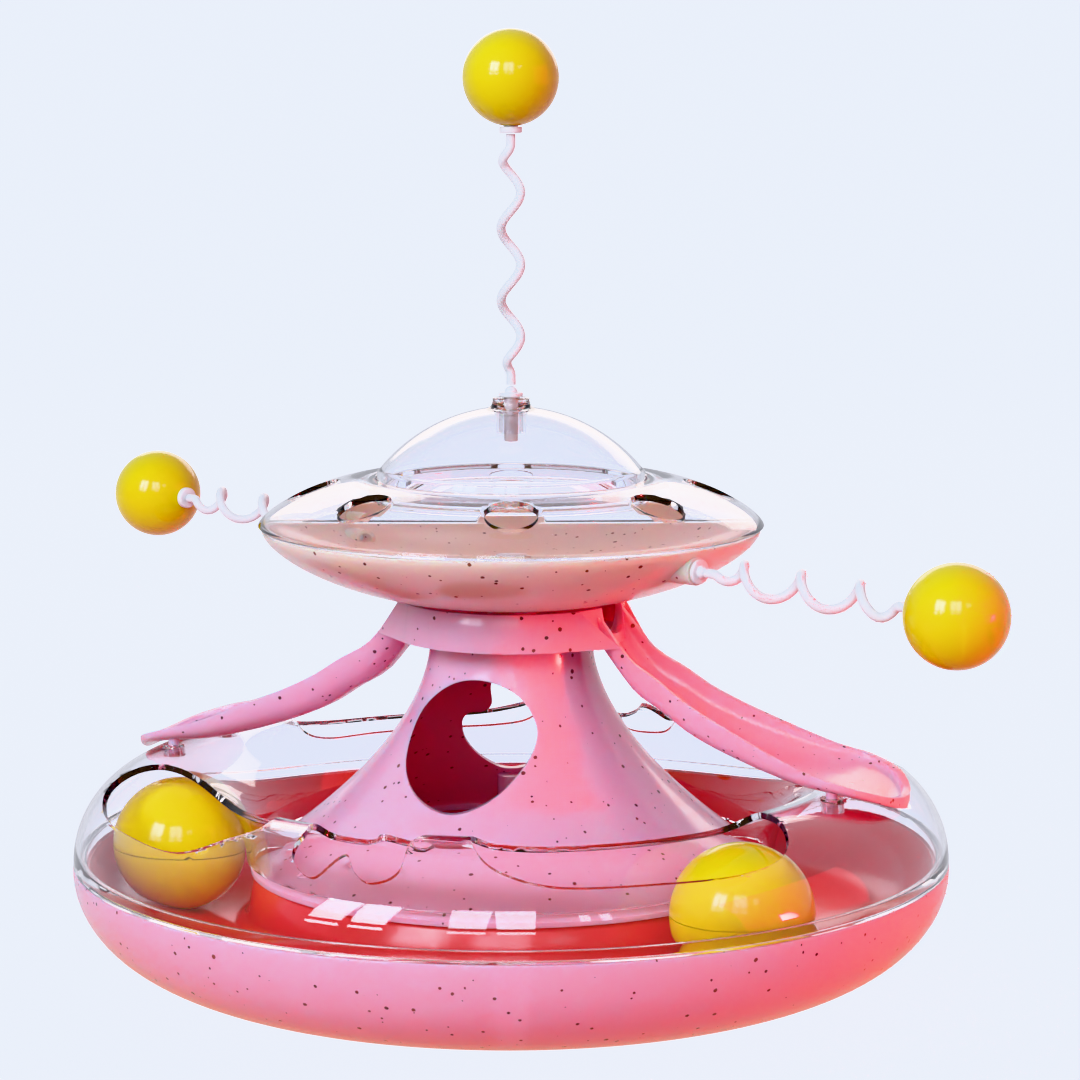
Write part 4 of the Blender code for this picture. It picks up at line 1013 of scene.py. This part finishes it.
def makeWand(name, face, tilt, plugLength, curlRadius):
    w = wand
    gap = moulding["fitGap"]
    fine, small, medium, large = w["edges"]
    pivotHeight = gap + w["flangeHeight"]
    plugDome = bow((w["domeRadius"], pivotHeight), (0, pivotHeight + w["domeRadius"]), steps=10)
    profile = [(0, -plugLength), (w["shaftRadius"], -plugLength, large), (w["shaftRadius"], gap),
               (w["flangeRadius"], gap, small), (w["flangeRadius"], pivotHeight, medium)]
    plug = turnPiece(f"{name}SocketPlug", profile + plugDome, steps=48)
    placePiece(plug, face)
    nodeName = name.replace("Wand", "_wand")
    finishPiece(plug, whiteNylon, f"{nodeName}_plug", [f"{nodeName}_socket_plug"])
    wire = makeWire(f"{name}Spring", wirePoints(curlRadius))
    tipBottom = w["reach"] - w["ballRadius"] - w["tipHeight"] - gap
    tipTop = w["reach"] - w["ballRadius"] - gap / 3
    tipEnd = tipTop + w["tipLength"]
    tip = [(0, tipBottom), (w["tipRadius"], tipBottom, large), (w["tipRadius"], tipTop, fine),
           (w["shaftRadius"], tipTop), (w["shaftRadius"], tipEnd, large), (0, tipEnd)]
    tipPlug = turnPiece(f"{name}BallPlug", tip, steps=48)
    ball = makeWandBall(f"{name}Ball")
    pivotPlace = Matrix.Translation((0, 0, pivotHeight))
    arm = face @ pivotPlace @ tilt @ pivotPlace.inverted()
    smooth = moulding["smoothAngle"]
    for piece, material, slot, node, smoothAngle in (
            (wire, whiteNylon, "white_plastic", "spring", w["wireSmoothAngle"]),
            (tipPlug, whiteNylon, "white_plastic", "ball_plug", smooth),
            (ball, yellowAbs, "yellow_plastic", "ball", smooth)):
        placePiece(piece, arm)
        finishPiece(piece, material, f"{nodeName}_arm", [f"{nodeName}_{node}"], smoothAngle)


# Track balls: two moulded halves each, with a fine seam

trackBall = {
    "radius": 20 * mm, "wall": 1.4 * mm, "circle": 100 * mm, "angles": {"right": -51, "left": 175},
    "centreZ": 34.8 * mm, "seam": 0.15 * mm}


def makeTrackBall(side, degrees):
    t = trackBall
    centre = Matrix.Translation((*polar(t["circle"], degrees), t["centreZ"]))
    inner = t["radius"] - t["wall"]
    outerArc = bow((t["radius"], t["seam"]), (0, t["radius"]), steps=30)
    innerArc = bow((inner, t["seam"]), (0, inner), steps=20)
    for half, turn in (("upper", 0), ("lower", math.pi)):
        name = f"{side}TrackBall{half.capitalize()}Half"
        piece = turnPiece(name, innerArc[::-1] + outerArc, steps=96)
        placePiece(piece, centre @ Matrix.Rotation(turn, 4, "X"))
        finishPiece(piece, yellowAbs, f"{side}_track_ball",
                    [f"{side}_track_ball_{half}_half"])


# Studio: a pale cove, soft lights and the photograph's camera

studio = {
    "coveRadius": 3.2, "coveHeight": 2.6, "coveCurve": 1.3, "card": "#141518", "cardRoughness": 0.9,
    "backdrop": ("#EBF2FF", 1.87),
    # What is seen of the cove in reflections to the front and the rear, from matt surfaces, and
    # from matt surfaces under clear plastic
    "mirroredFront": ("#FFCCAC", 0.9), "mirroredRear": ("#F2F4FF", 0.85),
    "rearFrom": -0.2, "rearTo": 0.3, "matt": ("#FF98A4", 0.1), "under": ("#FFB8AC", 0.9),
    "bounce": ("#E8525C", 1.0), "bounceReach": (0.26, 0.42)}      # rosy light from the floor nearby


def scaledColour(hexColour, share):
    return [channel * share for channel in toLinear(hexColour)]


# The glow of the cove and the sky: full to the camera and through clear parts, dimmed for
# other rays.
def makeGlow(tree, direction, mattGlow):
    s = studio
    rayKind = addNode(tree, "ShaderNodeLightPath")
    reflected, scattered, through = (
        addNode(tree, "ShaderNodeMath", {"operation": "MINIMUM", 1: 1.0},
                {0: rayKind.outputs[depth]}).outputs[0]
        for depth in ("Glossy Depth", "Diffuse Depth", "Transmission Depth"))
    unit = addNode(tree, "ShaderNodeVectorMath", {"operation": "NORMALIZE"}, {0: direction})
    towardRear = addNode(tree, "ShaderNodeSeparateXYZ", {}, {"Vector": unit.outputs[0]})
    rear = addNode(tree, "ShaderNodeMapRange", {"From Min": s["rearFrom"], "From Max": s["rearTo"]},
                   {"Value": towardRear.outputs["Y"]})
    front, back = scaledColour(*s["mirroredFront"]), scaledColour(*s["mirroredRear"])
    mirrored = addNode(tree, "ShaderNodeMix", {"data_type": "RGBA", 6: front, 7: back},
                       {0: rear.outputs["Result"]})
    seen = addNode(tree, "ShaderNodeMix", {"data_type": "RGBA", 6: scaledColour(*s["backdrop"])},
                   {0: reflected, 7: mirrored.outputs[2]})
    matt = addNode(tree, "ShaderNodeMix", {"data_type": "RGBA", 7: scaledColour(*s["under"])},
                   {0: through, 6: mattGlow})
    return addNode(tree, "ShaderNodeMix", {"data_type": "RGBA"},
                   {0: scattered, 6: seen.outputs[2], 7: matt.outputs[2]}).outputs[2]


def makeStudio():
    s = studio
    wall = bow((s["coveRadius"], s["coveCurve"]), (s["coveRadius"] - s["coveCurve"], 0), steps=24)
    profile = [(0, 0), *wall[::-1], (s["coveRadius"], s["coveHeight"])]
    floor = turnPiece("studioFloor", profile, steps=96)
    openMesh(floor)
    bpy.ops.mesh.flip_normals()
    closeMesh()
    bpy.ops.object.shade_smooth()
    material, tree, shader, place = startMaterial("paleStudioCard", {
        "Base Color": toLinear(s["card"]), "Roughness": s["cardRoughness"],
        "Emission Strength": 1.0})
    dimmed = scaledColour(*s["matt"])
    distance = addNode(tree, "ShaderNodeVectorMath", {"operation": "LENGTH"}, {0: place})
    nearest, farthest = s["bounceReach"]
    near = addNode(tree, "ShaderNodeMapRange", {
        "From Min": nearest, "From Max": farthest, "To Min": 1.0, "To Max": 0.0},
        {"Value": distance.outputs["Value"]})
    fill = addNode(tree, "ShaderNodeMix", {
        "data_type": "RGBA", 6: dimmed, 7: scaledColour(*s["bounce"])},
        {0: near.outputs["Result"]})
    tree.links.new(makeGlow(tree, place, fill.outputs[2]), shader.inputs["Emission Color"])
    floor.data.materials.append(material)
    world = bpy.data.worlds.new("studioWorld")
    world.use_nodes = True
    sky = addNode(world.node_tree, "ShaderNodeRGB").outputs[0]
    sky.default_value = dimmed
    direction = addNode(world.node_tree, "ShaderNodeTexCoord").outputs["Generated"]
    background = world.node_tree.nodes["Background"]
    world.node_tree.links.new(makeGlow(world.node_tree, direction, sky),
                              background.inputs["Color"])
    bpy.context.scene.world = world


# Two tall windows light the toy from the front left and the front, each with two panes over
# two narrow ones. A small one stands to the right. Angles are seen from the toy.
windows = {
    "distance": 1.7, "target": (0, 0, 0.06), "bar": 3.2, "sillShare": 0.16, "daylight": "#E4F0FF",
    "places": {"leftWindow": (-42, 27, 20, 25, 22), "frontWindow": (-5, 28, 21, 25, 10),
               "sideWindow": (22, 29, 8, 10, 8)}}    # azimuth, elevation, width, height, brightness
# A warm card behind and above, a rose one low on the right that colours the shaded side, and a
# narrow rose beam there, on the cone's flank. The last number is the angle of spread.
cards = {
    "rearCard": ((0.2, 1.7, 0.75), (1.8, 0.6), 2.6, "#FFF2EC", 180),
    "roseCard": ((1.15, -0.25, 0.3), (0.9, 0.8), 2.4, "#FF2838", 180),
    "roseBeam": ((0.8, -0.3, 0.13), (0.1, 0.07), 4.5, "#FF1830", 15)}


def addSoftbox(name, place, size, brightness, colour=windows["daylight"], spread=180):
    deselectAll()
    bpy.ops.object.light_add(type="AREA", location=place)
    lamp = bpy.context.object
    lamp.name = name
    lamp.data.shape = "RECTANGLE"
    lamp.data.size, lamp.data.size_y = size
    lamp.data.energy = brightness * math.pi * size[0] * size[1]
    lamp.data.color = toLinear(colour)[:3]
    lamp.data.spread = math.radians(spread)
    aim = Vector(windows["target"]) - Vector(place)
    lamp.rotation_euler = aim.to_track_quat("-Z", "Y").to_euler()
    lamp.visible_camera = False


def makeWindow(name, azimuth, elevation, width, height, brightness):
    w = windows
    bar = w["bar"]
    paneWidth = (width - bar) / 2
    sill = height * w["sillShare"]
    for column in (-1, 1):
        for row, paneHeight, middle in (
                ("Pane", height - sill - bar / 2, sill / 2 + bar / 4),
                ("Sill", sill - bar / 2, -height / 2 + sill / 2 - bar / 4)):
            turn = math.radians(azimuth + column * (paneWidth + bar) / 2)
            rise = math.radians(elevation + middle)
            aside, up = math.cos(rise), math.sin(rise)
            place = Vector((math.sin(turn) * aside, -math.cos(turn) * aside, up))
            size = [w["distance"] * math.radians(degrees) for degrees in (paneWidth, paneHeight)]
            addSoftbox(f"{name}{row}{column}", Vector(w["target"]) + w["distance"] * place, size,
                       brightness)


camera = {
    "place": (0, -0.93886, 0.25775), "pitch": 7.88, "yaw": -0.009, "lens": 107.5, "sensor": 36,
    "clipStart": 0.05, "bounces": 24}


def makeCamera():
    c = camera
    deselectAll()
    bpy.ops.object.camera_add(location=c["place"],
                              rotation=(math.radians(90 - c["pitch"]), 0, c["yaw"]))
    viewer = bpy.context.object
    viewer.data.lens = c["lens"]
    viewer.data.sensor_width = c["sensor"]
    viewer.data.clip_start = c["clipStart"]
    scene = bpy.context.scene
    scene.camera = viewer
    scene.view_settings.view_transform = "Khronos PBR Neutral"
    scene.view_settings.look = "None"
    scene.cycles.max_bounces = scene.cycles.transmission_bounces = c["bounces"]


makeBaseBowl()
makeTrackTray()
print("base done")
makeConeColumn()
makeColumnScrews()
print("cone done")
makeTrackCover()
print("cover done")
makeSlideRamp()
print("slides done")
makeUfoDish()
makeClearDisc()
makeDome()
makePivot()
print("saucer done")
topFace = Matrix.Translation((0, 0, dome["neckTopZ"])) @ Matrix.Rotation(math.pi, 4, "Z")
makeWand("topWand", topFace, Matrix(), wand["topPlug"], wand["topCurl"])
for side, degrees in wandAngles.items():
    outward = Matrix.Rotation(math.radians(degrees), 4, "Z") @ Matrix.Rotation(math.pi / 2, 4, "Y")
    face = Matrix.Translation((*polar(dish["nozzleReach"], degrees), dish["wandZ"])) @ outward
    droop = Matrix.Rotation(math.radians(wand["droop"][side]), 4, "Y")
    lean = Matrix.Rotation(math.radians(wand["lean"][side]), 4, "X")
    makeWand(f"{side}Wand", face, droop @ lean, wand["sidePlug"], wand["sideCurl"])
print("wands done")
for side, degrees in trackBall["angles"].items():
    makeTrackBall(side, degrees)
print("balls done")
makeStudio()
for name, window in windows["places"].items():
    makeWindow(name, *window)
for name, card in cards.items():
    addSoftbox(name, *card)
makeCamera()
print("studio done")
